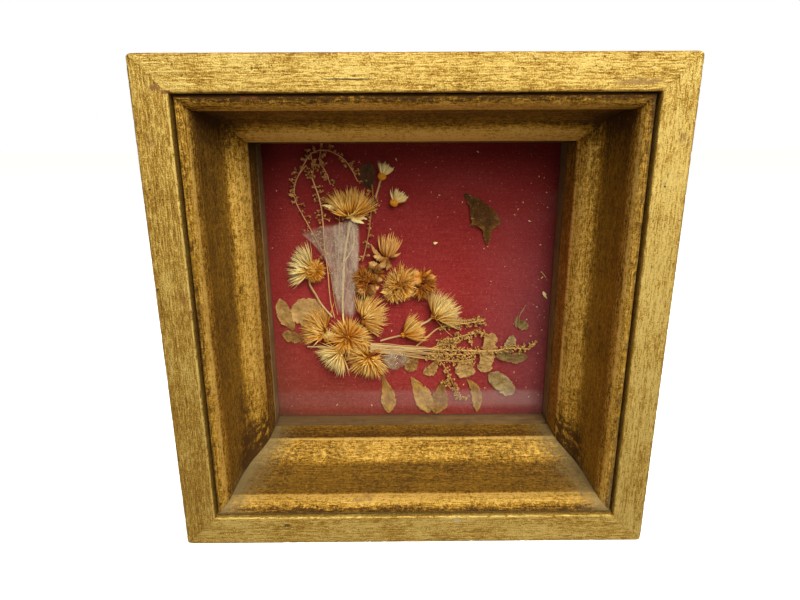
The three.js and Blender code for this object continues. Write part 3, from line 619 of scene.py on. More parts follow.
# Each side's rub also paints how brightly that side is lit, its inner edge carries a painted highlight, and
# the groove's dark is partly painted shade.
for seed, (side, (rub_and_light, gleam, groove)) in enumerate(zip(SIDES, RIM_LOOKS)):
    upright = side in ("left", "right")
    nails = [(sign * nail_place, 34 * MM, 2.25 * MM, 0.9 * MM) for sign in (-1, 1)] if upright else []
    along = along_side if upright else even
    points, numbers, edge, chip = carve(side, outer_outline, along, [(0.3, 0.3), (RIM - 0.3, 0.3)], seed,
                                        nails)
    # A painted highlight along the inner edge, over the rubbed gold there.
    shine = gleam * nearness(outer_outline, [(RIM - 0.35, 0.1)], 0.45) * (1 - 0.8 * chip)
    mitre = np.exp(-from_mitre(along) / 1.2)
    rail = Piece().add(points, tube_faces(len(along), len(outer_outline)), **numbers, dust=0.0, calm=0.0,
                       hollow=(0.5 * side_face + 0.8 * edge * (0.3 + chip) + mitre * (0.25 + 1.5 * back)
                               + groove * inner),
                       rub=rub_and_light * (1 - side_face) * (1 - edge) + shine,
                       bare=np.maximum(back, inner * rise(depth, 8, 4)))
    rail.finish("gilt_rim_" + side, rim_gilt, "outer_rail_" + side, sharp=50)

# %% [markdown]
# ## Liner
# The liner is one moulding with a step beside the rim, a round bead, a deep hollow, a swelling bright band
# and a plain lip down to the glass. Dust has settled in its lower crevice and in the lower mitres, where it
# turned the gold grey-green.

# %% Liner rails
quirk, bead, cove, band, sight, lip = 14.3, 15.2, 19.1, 23.4, 30.7, 31.3


def liner_outline(floor):
    """The liner's outline, with the floor of its quirk at that depth."""
    return np.vstack([
        straight((13.8, 49.9), (13.8, floor), 6), straight((13.8, floor), (quirk, floor), 2),
        bend((quirk, floor), (quirk, 1.6), (bead, 1.6), steps=10),
        bend((bead, 1.6), (17.3, 1.7), (cove - 0.5, 4.6), (cove, 8.4), steps=18),
        bend((cove, 8.4), (cove, 24.98), (band, 30.5), steps=30),
        bend((band, 30.5), (28.2, 32.6), (sight - 0.15, 37.5), steps=26),
        bend((sight - 0.15, 37.5), (sight, 37.9), (sight + 0.03, 38.5), steps=5),
        straight((sight + 0.03, 38.5), (lip, 49.9), 14), straight((lip, 49.9), (13.8, 49.9), 3)]) * MM


along = np.linspace(-1, 1, 320)
end = along[:, None]
upper, lower = np.clip(end, 0, 1), np.clip(-end, 0, 1)
to_mitre = from_mitre(along)
from_foot = (1 + end) * HALF / MM
# What a side looks like unless its own row says otherwise. floor is the depth of the quirk's floor, and
# cove_end that of the cove's dark end. band and bead say how bright the band and the bead are rubbed, and
# gleam is a painted highlight on the sight edge; where band, bead, cove and lip change from side to side,
# they also paint how that side is lit. cove, crevice, patina, lip, grime and steep say how dark the
# cove, the crevice, the bead's edge, the lip, the upper mitres and the steep part are, the upper mitres as
# painted shade. soot is the dark above the lower mitre, dusty the dust in general, and drift the
# reach and the weight of the dust beside the mitres.
USUAL = dict(floor=4.4, bead=1.25, cove_end=31, crevice=0.9, drift=(6.5, 0.8), dusty=0.6 * lower ** 3,
             soot=0.0, lip=(1.0, 1.0), grime=end > 0, steep=0.0, gleam=0.0)
LINER_LOOKS = (
    dict(floor=2.4, band=2.3, bead=1.2, cove=0.95, cove_end=33, crevice=0.35, patina=1.8, dusty=0.1,
         grime=1.0),
    dict(floor=2.4, band=0.05, bead=1.1, cove=1.0, crevice=0.0, patina=1.15, drift=(10, 1.3), dusty=1.0,
         lip=(1.6, 0.5), grime=0.0),
    dict(band=0.85, cove=0.9, patina=1.0 - 0.6 * upper, soot=1.2, steep=0.5, gleam=0.65),
    dict(band=0.55, cove=0.5 * (1 + 0.7 * upper ** 2), patina=0.4 + 1.7 * end ** 2, soot=1.0,
         lip=(0.3, 0.3), steep=0.2, gleam=1.8))
for seed, (side, own) in enumerate(zip(SIDES, LINER_LOOKS)):
    look = SimpleNamespace(**{**USUAL, **own})
    low_bead, upright = side == "bottom", side in ("left", "right")
    outline = liner_outline(look.floor)
    points, numbers, arris = carve(side, outline, along, [(cove, 8.4), (band, 30.5), (sight, 37.9)],
                                   seed + 4)[:3]
    inset, depth = outline.T / MM
    hollow = rise(depth, 8.8, 1.4) * rise(look.cove_end - depth, 0, 3) * (inset > 19)
    crest = rise(inset, 16.2, 2) * (depth < 8.8)
    patina = rise(17.4 + 0.8 * low_bead - inset, 0, 2 - 0.5 * low_bead) * (depth < 6) * look.patina
    # The band's brightness is rubbed gold, and where it differs from side to side it is painted light for how
    # that side is lit.
    bright = rise(inset, 23.6, 4) * (depth < 38.6)
    crevice = (inset < 14.7) * (depth < 5)
    on_lip = (depth > 38.7) * (inset > 20)
    steep = (depth > 5.4) * (depth < 8.8) * (inset > 17) * upright
    # Darker cove and band just above the lower mitre of the upright rails.
    soot = np.exp(-(from_foot / 25) ** 2) * rise(inset, 20, 3) * (depth < 39)
    soot = soot * np.clip(0.85 + 0.8 * soft_noise(end * 42, depth / 2.2, 8), 0, 1) * look.soot
    reach, weight = look.drift
    drift = weight * (np.exp(-to_mitre / reach) * (0.8 + 0.2 * soft_noise(end * 60, depth / 5, 6)))
    settle = 0.5 + 0.5 * soft_noise(end * 40, depth / 4, 5)
    resting = rise(inset, 22, 3) * (depth < 38)
    dust = look.dusty * (1 - 0.75 * soot) * np.clip(
        crevice + drift + 0.1 * hollow * settle + 0.25 * resting * settle, 0, 1)
    ledge = rise(17.2 - inset, 0, 1.4) * (depth < 5) * (side == "right")
    dust = np.maximum(dust, ledge * (0.28 + 0.4 * look.dusty) * (0.6 + 0.6 * settle))
    worn_spots = np.clip(0.55 + 0.9 * soft_noise(end * 170, depth / 6, 9), 0, 1)
    # Bright arrises are rubbed gold; the bright lines at the sight edge and on the upright beads are also
    # painted highlights.
    shoulder = arris * ((depth > 36) | ((depth > 5) & (depth < 12))) * worn_spots * (1 - steep)
    if upright:
        shoulder = shoulder + nearness(outline, [(17.9, 4.0)], 0.5) * worn_spots * 0.45
        shoulder = shoulder + nearness(outline, [(sight - 0.3, 37.0)], 0.55) * worn_spots * look.gleam
    else:
        shoulder = shoulder + nearness(outline, [(sight - 0.1, 37.4)], 0.6) * (0.8 + worn_spots)
    # Painted shade: the cove and band are darker near the upper mitres.
    upper_corner_shade = np.exp(-to_mitre / 11) * (inset > 17.4) * look.grime
    rail = Piece().add(points, tube_faces(len(along), len(outline)), **numbers, dust=dust, bare=0.0,
                       hollow=(look.cove * hollow + look.crevice * crevice + patina
                               + on_lip * np.interp(depth, [38.7, 50], look.lip)
                               + 0.45 * np.exp(-to_mitre / 1.6) + 1.1 * upper_corner_shade + 3.2 * soot
                               + look.steep * steep),
                       rub=look.bead * crest * (1 - steep) + look.band * bright + 2.2 * shoulder,
                       calm=0.5 * hollow + 0.35 * on_lip)
    rail.finish("gilt_liner_" + side, liner_gilt, "liner_rail_" + side, sharp=50)

# %% [markdown]
# ## Spacers, backing and hardware
# These pieces are plain boxes, nails and a stamped strip, and their solids already have the right shape, so
# they only get finishes: brown hardboard, dull steel, and bare wood that is dusty in the middle, with painted
# shade where it meets the cloth and painted shade that makes it darker high up.


# %% Finishes of the hidden and plain pieces
def dress(finish, *beginnings):
    """Gives the finish to every node whose name starts that way."""
    found = [thing for name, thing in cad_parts.items() if name.startswith(beginnings)]
    for thing in found:
        thing.data.materials.clear()
        thing.data.materials.append(finish.material)
    print(finish.material.name, "on", len(found), "nodes")


wood = Finish("dusty_spacer_wood", Roughness=0.85)
across, inwards, height = (wood.axis(letter) for letter in "XYZ")
grain = wood.noise(1, 5, 0.6, stretch=(60, 700, 60))
settled = wood.noise(160, 4, 0.7)
sunk = wood.between(height, MIDDLE - 66 * MM, MIDDLE - 70 * MM)
sunk = sunk * (wood.between(across, 0.02, -0.06) * 0.8 + 0.8)
# Painted shade: the wood is darker high up, under the top rail, and where it meets the cloth.
high_up = wood.between(height, MIDDLE + 0.01, MIDDLE + 0.06)
cloth_edge_shade = wood.between(inwards + (settled - 0.5) * 3 * MM, CLOTH - 2.2 * MM, CLOTH - 0.2 * MM)
dusty = wood.between(settled, 0.45, 0.7)
colour = wood.layers(
    wood.ramp(grain, (0.3, (0.11, 0.06, 0.018)), (0.55, (0.25, 0.145, 0.045)), (0.75, (0.33, 0.205, 0.08))),
    (dusty * 0.6, (0.31, 0.23, 0.09)), (sunk * 0.4, (0.11, 0.062, 0.02)),
    (high_up * 0.6, (0.07, 0.034, 0.012)), (cloth_edge_shade * 0.7, (0.045, 0.028, 0.014)))
wood.drive(Base_Color=colour).bump(grain + settled * 0.5, 0.0002)
dress(wood, "spacer_")

board = Finish("brown_hardboard", Roughness=0.8)
fibres = board.noise(1, 5, 0.7, stretch=(300, 300, 1300), turn=0.3)
colour = board.ramp(fibres * 0.6 + board.noise(22, 4, 0.6) * 0.4, (0.35, (0.17, 0.095, 0.048)),
                    (0.5, (0.30, 0.185, 0.10)), (0.66, (0.42, 0.28, 0.16)))
board.drive(Base_Color=colour).bump(fibres, 0.0002)
dress(board, "backing_board")

steel = Finish("dull_steel")
tarnish = steel.noise(420, 4, 0.7)
rust = steel.between(tarnish, 0.52, 0.66)
steel.drive(Base_Color=steel.mix(rust, (0.42, 0.41, 0.39), (0.19, 0.085, 0.04)),
            Metallic=1 - rust * 0.9, Roughness=0.35 + rust * 0.45).bump(tarnish, 0.0001)
dress(steel, "brad_", "corner_nail_", "sawtooth_hanger", "hanger_nail_")

# %% [markdown]
# ## Glass
# Old glass is hardly seen where it is clean. What shows is a thin film: specks of dust, a pale veil near the
# lower edge that is a painted reflection, and more shine where it is looked at along its face. A clear shader
# is mixed with a pale half-bright one, and the mask between them carries the painted reflection, the specks
# and the edge shine.

# %% Glass
glass = Finish("old_glass", Roughness=0.16, Metallic=0.35)
sideways, height = glass.axis("X"), glass.axis("Z") - MIDDLE
cloudy = glass.noise(26, 3, stretch=(1, 1, 2.2))
# Painted reflection: a pale veil that thickens near the lower edge stands in for a reflection in the glass.
low_reflection_veil = glass.between(height, -0.0505, -0.0525) * glass.between(height, -0.062, -0.0585)
low_reflection_veil = low_reflection_veil * (glass.between(sideways + cloudy * 0.05, -0.05, 0.06) * 0.8 + 0.2) * (cloudy + 0.3)
low_reflection_veil = low_reflection_veil * glass.between(sideways, 0.068, 0.058)
smear = glass.between(cloudy, 0.5, 0.8) * glass.between(sideways, 0.0, 0.06)
specks = glass.between(glass.noise(1300, 2), 0.735, 0.78)
shine = glass.node("Fresnel", {"IOR": 1.3})
glass.drive(Base_Color=glass.mix(cloudy, (0.60, 0.46, 0.49), (0.8, 0.70, 0.67)))
glass.over(glass.node("BsdfTransparent", output="BSDF"),
           low_reflection_veil * 0.125 + smear * 0.02 + specks * 0.22 + shine * 0.12)
dress(glass, "glass_pane")

# %% [markdown]
# ## Red cloth
# A piece of plain red cloth, glued flat over the backing board. Along the top and the sides it is painted
# darker, a painted shade for the shadow of the top rail and the side walls, and it is dull and worn lower
# down.
# Only light relief shows, so a thin closed sheet with a faint swell is enough. Its weave is a pair of crossed
# waves in the piece's own UV map, mixed with slubs, under lint and motes of dust, and its fibres give it a
# soft sheen.

# %% Cloth
low, high = (np.array(corner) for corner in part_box("cloth_facing"))
size = 130
across, tall = np.meshgrid(np.linspace(low[0], high[0], size), np.linspace(low[2], high[2], size),
                           indexing="ij")
swell = 0.06 * MM * (0.5 + 0.5 * soft_noise(across * 70, tall * 70, 3))
sheet = np.stack([np.stack([across, y, tall], -1) for y in (low[1] + swell, np.full_like(swell, high[1]))])
cell = (np.arange(size - 1)[:, None] * size + np.arange(size - 1)).reshape(-1, 1)
front_quads = cell + np.array([0, size, size + 1, 1])
back_quads = (cell + np.array([1, size + 1, size, 0])) + size * size
border = np.concatenate([np.arange(size) * size, (size - 1) * size + np.arange(1, size),
                         np.arange(size - 2, -1, -1) * size + size - 1, np.arange(size - 2, 0, -1)])
after = np.roll(border, -1)
rim_quads = np.stack([after, border, border + size * size, after + size * size], -1)
cloth = Piece().add(sheet, [front_quads, back_quads, rim_quads], u=sheet[..., 0], v=sheet[..., 2])

red = Finish("red_cloth", "red_cloth", Roughness=0.9, Specular_IOR_Level=0.08, Sheen_Weight=0.2,
             Sheen_Roughness=0.5, Sheen_Tint=(1.0, 0.42, 0.42, 1.0))
warp, weft = (red.node("TexWave", {"Vector": red.place(uv=True), "Scale": 560.0, "Distortion": 1.5,
                                   "Detail": 2.0}, output="Fac", bands_direction=axis) for axis in "XY")
slub = red.noise(1, 3, stretch=(90, 1400, 1), uv=True)
fade = red.noise(28, 3, uv=True)
nap = red.noise(520, 4, 0.75, stretch=(1.5, 1, 1), uv=True)
lint = red.between(red.noise(1150, 3, 0.7, stretch=(1.6, 1, 1), uv=True) + fade * 0.05, 0.66, 0.75)
motes = red.between(red.noise(640, 2, stretch=(1, 1.7, 1), uv=True), 0.69, 0.76)
sideways, height = red.axis("X"), red.axis("Z")
# Painted shade: darker along the top and the sides, for the shadow that the top rail and the side walls cast
# on the cloth.
painted_wall_shade = red.between(height + fade * 0.02, MIDDLE + 0.01, MIDDLE + 0.078)
painted_wall_shade = painted_wall_shade * 0.66 + red.between(sideways, -0.058, -0.074) * 0.5 + red.between(sideways, 0.02, 0.075) * 0.25
bloom = red.between(sideways + fade * 0.03, 0.038, 0.078) * red.between(height, MIDDLE + 0.05, MIDDLE - 0.01)
dull = red.between(height + sideways * 0.6, MIDDLE - 0.045, MIDDLE - 0.095)
worn_nap = red.between(red.noise(330, 5, 0.85, uv=True), 0.48, 0.72)
worn_nap = worn_nap * red.between(height, MIDDLE + 0.03, MIDDLE - 0.04)
# Painted shade: darker along the lower edge, where the cloth meets the spacer, and in the lower left corner.
low_edge = red.between(height + (nap - 0.5) * 0.008, MIDDLE - 0.0655, MIDDLE - 0.0705)
corner = red.between(height + sideways + (nap - 0.5) * 0.02, MIDDLE - 0.126, MIDDLE - 0.139)
dye = red.ramp(fade * 0.5 + slub * 0.4 + nap * 0.7 - 0.3, (0.3, (0.21, 0.012, 0.014)),
               (0.5, (0.33, 0.030, 0.031)), (0.72, (0.46, 0.060, 0.058)))
dye = red.layers(dye, (0.3, red.mix(warp * weft, (0.16, 0.010, 0.012), (0.46, 0.046, 0.046))),
                 (painted_wall_shade, (0.085, 0.004, 0.004)), (bloom * 0.45, (0.17, 0.055, 0.075)),
                 (dull * 0.42, (0.16, 0.062, 0.028)), (worn_nap * 0.25, (0.52, 0.17, 0.13)),
                 (low_edge * 0.35 + corner * 0.5, (0.09, 0.045, 0.022)), (lint * 0.55, (0.66, 0.42, 0.36)),
                 (motes * 0.4, (0.60, 0.36, 0.30)))
red.drive(Base_Color=dye).bump(warp * 0.5 + weft * 0.5 + slub * 0.4, 0.00012, 0.7)
cloth = cloth.finish("red_cloth", red, "cloth_facing", sharp=40)

# %% [markdown]
# ## Dried plant finishes
# Every dried piece fades the same way: deeper at the base, paler towards the tip, with its own small
# difference from its neighbour. Three numbers per vertex carry that and a painted shade: `along`, from base
# to tip, `tint`, one random number per bract, seed or leaf, and `keel`, which is 1 on the raised middle and 0
# at a margin, so the middle is painted lighter and the margins darker, as shade between neighbours.


# %% Plant finishes
def dried(name, slot, base, middle, tip, scale=500, relief=0.00012, mottle=0.4, thin=None):
    """Colour = a ramp along the piece, moved by its tint, its keel, which paints shade at the margins, and
    fine noise. thin is the least and the most that a papery leaf covers of what lies behind it."""
    plant = Finish(name, slot, Specular_IOR_Level=0.12)
    grain = plant.noise(scale, 5, 0.68)
    tint, keel = plant.attribute("tint"), plant.attribute("keel")
    # The keel term is painted shade: lighter on a bract's raised middle, darker at its margins.
    shade = plant.attribute("along") + (grain - 0.5) * mottle + (tint - 0.5) * 0.6 + (keel - 0.5) * 0.3
    colour = plant.ramp(shade, (0.02, base), (0.45, middle), (0.95, tip))
    colour = plant.mix(plant.between(grain, 0.56, 0.74) * 0.4, colour, tinted(base, (0, 0, 0), 0.5))
    plant.drive(Base_Color=colour, Roughness=0.75 + grain * 0.2)
    if thin:
        worn = plant.between(plant.noise(230, 4, 0.7), 0.35, 0.62)
        plant.drive(Alpha=worn * (thin[1] - thin[0]) + thin[0])
    return plant.bump(grain, relief)


straw = dried("straw_bracts", "straw_flower", (0.42, 0.13, 0.004), (0.76, 0.35, 0.035), (0.95, 0.66, 0.21))
pale = dried("pale_bracts", "pale_flower", (0.64, 0.25, 0.01), (0.84, 0.54, 0.12), (0.96, 0.82, 0.39))
rusty = dried("rust_bracts", "rust_flower", (0.26, 0.065, 0.004), (0.56, 0.21, 0.018), (0.84, 0.48, 0.15))
seedy = dried("seed_sprays", "seed_spray", (0.20, 0.08, 0.018), (0.44, 0.215, 0.062), (0.68, 0.41, 0.18),
              900)
golden = dried("golden_sprigs", "seed_spray", (0.22, 0.10, 0.016), (0.48, 0.275, 0.07), (0.74, 0.50, 0.19),
               900)
stalky = dried("pale_stems", "pale_stem", (0.34, 0.20, 0.07), (0.52, 0.345, 0.145), (0.72, 0.55, 0.30), 700)
crumpled = dried("crumpled_bracts", "rust_flower", (0.17, 0.07, 0.016), (0.40, 0.195, 0.05),
                 (0.74, 0.46, 0.18), relief=0.0004, mottle=1.0)
print("plant finishes ready")

# %% [markdown]
# ## Flower heads
# A dried head is an egg-shaped base from which scores of stiff pointed bracts rise in a spiral and splay.
# The spiral is the one real plants use: each bract turns by the golden angle, and its lean grows with its
# place in the row. A bract is a narrow ring lofted along a bent line, and numpy makes all of them at once.


# %% Bracts and heads
GOLDEN = math.pi * (3 - math.sqrt(5))
BRACT = np.array([(1, 0.15), (0, 1), (-1, 0.15), (0, -0.35)])
# 1 on a bract's raised middle and 0 at its margins: a painted shade between bracts.
KEEL = np.array([0.0, 1.0, 0.0, 0.3])
POINTED = (0.55, 0.96, 0.9, 0.6, 0.04)
BROAD = (0.25, 0.8, 1.0, 0.92, 0.6, 0.1)
OFF_AXIS = [0.02, 1, 0.03]
FLATTENED = 0.8


def around(axis, spin):
    """Unit vectors square to the axis, turned round it by spin."""
    first = unit(np.cross(axis, OFF_AXIS))
    return np.cos(spin)[:, None] * first + np.sin(spin)[:, None] * np.cross(axis, first)


def widths(form, share):
    """The form's numbers, spread evenly from foot to tip, read at share."""
    return np.interp(share, np.linspace(0, 1, len(form)), form)


def bracts(piece, root, axis, fan, count, reach, width, seed, inner=0.0, flat=0.5, start=1.6, bulge=0.45,
           wild=0.06, shade=(0.0, 1.0)):
    """count bent lines that leave root round the axis. Lean = from inner to fan by the square root of
    its place; line = start point + a quadratic curve that first bulges out by its share of bulge and then
    heads for the tip. Depth is flattened and kept between the cloth and the glass."""
    rng = np.random.default_rng(seed)
    order = (np.arange(count) + 0.5) / count
    lean = np.radians(inner + (fan - inner) * np.sqrt(order)) * rng.uniform(0.88, 1.12, count)
    out = around(axis, np.arange(count) * GOLDEN + rng.uniform(-0.2, 0.2, count))
    tipwards = np.cos(lean)[:, None] * axis + np.sin(lean)[:, None] * out
    tipwards = unit(tipwards * [1, flat, 1] + rng.normal(0, wild, (count, 3)))
    leaving = unit(tipwards + bulge * np.sqrt(order)[:, None] * out * [1, flat, 1])
    length = (reach * MM * rng.uniform(0.72, 1.05, count) * (1 - 0.25 * (1 - order)))[:, None, None]
    s = np.linspace(0, 1, 8)[:, None]
    path = 2 * s * (1 - s) * (leaving[:, None] * 0.42 * length) + s ** 2 * (tipwards[:, None] * length)
    path = path + root + (tipwards * [start, start * flat, start])[:, None] * MM
    keep_inside(path, 0.5, 0.25)
    run = unit(np.gradient(path, axis=1))
    facing = unit(np.cross(run, out[:, None]) + 1e-4)
    side = unit(np.cross(run, facing) * 0.35 + facing)
    wide = width * MM / 2 * widths(POINTED, s[:, 0]) * rng.uniform(0.7, 1.2, count)[:, None]
    piece.loft(path, side, np.cross(side, run), wide, wide * 0.42, BRACT, keel=KEEL,
               along=blend(shade, s)[None], tint=rng.random(count)[:, None, None])


def scales(piece, root, axis, radius, count, seed, shade, shaggy):
    """Short overlapping bracts along a base, from its foot to past its mouth: the angle from the axis goes
    from its own start down by 70 degrees, and the distance is radius * (1.02 + shaggy * share^2)."""
    rng = np.random.default_rng(seed)
    order = (np.arange(count) + 0.5) / count
    foot = np.radians(165 - 95 * order)[:, None]
    out = around(axis, np.arange(count) * GOLDEN)[:, None]
    s = np.linspace(0, 1, 6)
    angle = (foot - np.radians(70) * s * rng.uniform(0.85, 1.15, (count, 1)))[..., None]
    outward = np.cos(angle) * axis + np.sin(angle) * out
    far = (radius * (1.02 + shaggy * s ** 2 * rng.uniform(0.4, 1.3, (count, 1))))[..., None]
    path = root + outward * far * [1, FLATTENED, 1]
    keep_inside(path, 0.5, 0.25)
    side = unit(np.cross(np.gradient(path, axis=1), outward))
    wide = 0.9 * MM / 2 * np.interp(s, [0, 0.35, 0.75, 1], [0.8, 1, 0.7, 0.08]) * np.ones((count, 1))
    piece.loft(path, side, outward, wide, wide * 0.3, BRACT, keel=KEEL, along=blend(shade, s)[:, None],
               tint=rng.random(count)[:, None, None])


def egg(piece, root, axis, length, radius):
    """A closed base: circles of radius sqrt(1 - t^2) along the axis, flattened in depth."""
    t = np.cos(np.linspace(math.pi - 0.05, 0.05, 9))
    path = root + axis * (t[:, None] * length / 2)
    side = np.broadcast_to(unit(np.cross(axis, OFF_AXIS)), path.shape)
    girth = radius * np.sqrt(1 - t ** 2)
    piece.loft(path, side, np.cross(side, axis), girth, girth * FLATTENED, ring(14),
               along=((t + 1) * 0.12)[:, None], tint=0.5, keel=0.5)


def stem(piece, route, height, radius, seed=0, sides=7, fade=(0.4, 0.9)):
    """A round stem along a smooth line through panel places, thinner towards its end, with a slight
    unevenness of its own."""
    places = panel(route, height)
    path = spline(places, 10 * len(places))
    share = np.linspace(0, 1, len(path))
    path = path + (0.16 * MM * soft_noise(share * 9 + seed * 3.1, seed + 0.5, seed))[:, None] * [1, 0, 0.6]
    side, outward = lanes(path)[1:]
    thick = radius * MM * (1.05 - 0.3 * share) * (1 + 0.12 * soft_noise(share * 25, seed + 0.2, seed + 1))
    piece.loft(path, side, outward, thick, thick, ring(sides), along=blend(fade, share)[:, None],
               tint=(seed * 0.37) % 1, keel=0.5)


def ragged(share, across, seed):
    """How far a margin strays, by coarse and fine noise along it: each margin has its own, and the middle
    stays where it is."""
    margin = np.where(across > 0, 3.0, 11.0) + seed * 0.7
    return across * (soft_noise(share[:, None] * 12 + seed, margin, seed)
                     + 0.6 * soft_noise(share[:, None] * 34, margin, seed + 1))


def petal(piece, rib, heights, width, seed, cup=0.6, shade=(0.3, 1.0), ruffle=0.4):
    """A broad papery bract on a smooth rib: its margins rise by cup * across^2 and by a ruffle of noise."""
    rows, sides = 30, 20
    path = spline(panel(rib, heights), rows)
    share = np.linspace(0, 1, rows)
    side, outward = lanes(path)[1:]
    section = ring(sides)
    wide = width / 2 * MM * widths(BROAD, share)
    wide = wide * (1 + 0.12 * soft_noise(share * 9, seed + 0.4, seed))
    points = loft(path, side, outward, wide, np.full(rows, 0.1 * MM), section)
    span = np.abs(section[:, 0])
    wave = soft_noise(share[:, None] * 9 + seed, section[:, 0] * 2 + seed * 3, seed + 2)
    crinkle = soft_noise(share[:, None] * 26 + seed, section[:, 0] * 5 + seed * 3, seed + 3)
    lift = (cup * span ** 2 + ruffle * span * wave + 0.22 * crinkle) * width / 4 * MM
    torn = ragged(share, section[:, 0], seed) * wide[:, None] * 0.2
    points = points + lift[..., None] * outward[:, None] + torn[..., None] * side[:, None]
    keep_inside(points, 0.4, 0.15)
    piece.add(points, tube_faces(rows, sides), tint=(seed * 0.43) % 1,
              along=blend(shade, share[:, None]) + 0.12 * wave, keel=0.7 - 0.4 * span)


stalks = Piece()


def head(place, aim, fan, reach, count, seed, height=3.4, lean=14, width=0.95, base=1.3, coat=26,
         flat=0.55, stalk=(), stalk_height=3.2, piece=None, bulge=0.6, wild=0.07, foot=0.5,
         shade=(0.0, 1.0), coat_shade=(-0.15, 0.35), shaggy=0.25):
    """One head: the base, a coat of short scales, then the bracts. aim is its direction in the panel in
    degrees, lean how far it faces the glass, reach how far its tips stand from place, and foot the share
    of the base where the bracts start."""
    piece = piece or Piece()
    root = panel(place, height)
    angle, tilt = math.radians(aim), math.radians(lean)
    axis = np.array([math.cos(angle) * math.cos(tilt), -math.sin(tilt), math.sin(angle) * math.cos(tilt)])
    egg(piece, root, axis, 1.9 * base * MM, base * 0.9 * MM)
    scales(piece, root, axis, base * 0.94 * MM, coat, seed + 50, coat_shade, shaggy)
    start = base * foot
    bracts(piece, root, axis, fan, count, reach - start, width, seed, 4, flat, start, bulge, wild, shade)
    if stalk:
        heights = [height] + [stalk_height] * (len(stalk) // 2)
        stem(stalks, (*place, *stalk), heights, 0.55, seed, fade=(0.1, 0.8))
    return piece


def cluster(piece, count, seed, rows, **look):
    """Small heads side by side: each row has a place, aim, fan, reach and lean."""
    for number, (place, aim, fan, reach, lean) in enumerate(rows):
        head(place, aim, fan, reach, count, seed + number, piece=piece, lean=lean, base=1.2, **look)


def petals(piece, seed, rows, **look):
    """Petals in a row: each has its rib, the heights along it and its width."""
    for number, (rib, heights, width) in enumerate(rows):
        petal(piece, rib, heights, width, seed + number, **look)


print("bracts, scales, stems, petals and heads ready")

# %% [markdown]
# The heads below follow the crescent from its lower left end to its upper one and back to the middle. A
# head has its place, its direction, how far it fans open, its reach and its number of bracts.

# %% Flower heads
head((-310, -505), 234, 78, 15.0, 330, 1, lean=34, shade=(-0.15, 1.1), wild=0.19).finish("head_bottom", straw)
head((-520, -465), 222, 58, 14.2, 230, 2, lean=16, shade=(0.1, 1.1), stalk_height=1.6, wild=0.14,
     stalk=(-620, -445, -690, -435, -760, -435)).finish("head_pale_low", pale)
head((-620, -300), 150, 56, 15.0, 270, 3, lean=20, wild=0.17).finish("head_left", straw)
rosette = head((-457, -357), 40, 104, 12.8, 340, 4, lean=66, flat=0.42, height=2.8, shade=(-0.2, 0.95),
               wild=0.2)
bracts(rosette, panel((-430, -370), 3.6), unit(np.array([1.0, -0.3, -0.02])), 46, 100, 11.5, 0.95, 71,
       wild=0.16)
rosette.finish("head_centre", straw)
pair = head((-345, -200), 44, 50, 15.4, 210, 5, lean=24, bulge=0.8, wild=0.16, base=1.0, shade=(0.05, 1.25))
head((-345, -235), -2, 40, 12.4, 110, 6, piece=pair, shade=(0.25, 1.1), bulge=0.8, base=1.0)
stem(stalks, (-300, -270, -270, -310, -240, -355), 2.6, 0.4, 6)
pair.finish("head_mid", straw)
ball = head((-690, 150), 158, 58, 15.0, 300, 7, lean=10, base=3.0, coat=260, height=3.7, width=0.85,
            bulge=0.25, foot=0.9, coat_shade=(-0.45, 0.35), shaggy=0.75, shade=(0.15, 1.2),
            stalk=(-715, 50, -675, -35, -630, -120, -565, -200))
bracts(ball, panel((-675, 140), 4.0), unit(np.array([0.35, -0.9, -0.1])), 118, 330, 4.6, 0.75, 97, flat=0.8,
       start=2.0, wild=0.28, shade=(-0.45, 0.5))
ball.finish("head_pale_left", pale)
head((-414, 520), 86, 62, 16.6, 330, 8, width=1.0, shade=(-0.2, 0.95), wild=0.12).finish(
    "head_top_fan", straw)
creamy = Piece()
petals(creamy, 140, (
    ((-410, 510, -350, 515, -300, 505), (5.4, 6.2, 5.8), 2.4),
    ((-410, 500, -360, 490, -320, 475), (5.4, 6.2, 5.8), 1.9),
    ((-440, 510, -400, 530, -360, 540), (5.4, 6.2, 5.8), 2.2),
    ((-490, 565, -540, 590, -600, 600), (5.4, 6.2, 5.8), 1.8)), shade=(0.7, 1.4), ruffle=1.2)
creamy.finish("fan_petals", pale)
curled = Piece()
bell = head((-175, 225), 78, 26, 13.4, 150, 9, width=1.4, shade=(0.15, 1.35), bulge=1.0)
petals(curled, 150, (
    ((-190, 200, -235, 255, -280, 330), (3.4, 4.8, 5.2), 2.2),
    ((-180, 210, -225, 235, -265, 250), (4.4, 6.0, 5.4), 3.6),
    ((-170, 235, -120, 245, -75, 265), (3.4, 4.6, 4.8), 1.6),
    ((-175, 230, -200, 185, -250, 170), (4.8, 6.2, 5.0), 3.4),
    ((-165, 220, -155, 180, -175, 145), (4.4, 5.6, 4.8), 2.6)), shade=(0.0, 1.0), ruffle=1.9, cup=1.1)
bell.finish("head_bell", rusty)
tufts = Piece()
cluster(tufts, 70, 200, (
    ((-345, 100), 115, 72, 7.6, 14), ((-330, 30), 200, 72, 7.4, 14), ((-300, 70), 60, 72, 7.2, 14),
    ((-330, 60), 150, 72, 8.0, 14), ((-250, 120), 20, 72, 6.0, 14)), width=0.8, shade=(-0.1, 0.65), wild=0.34)
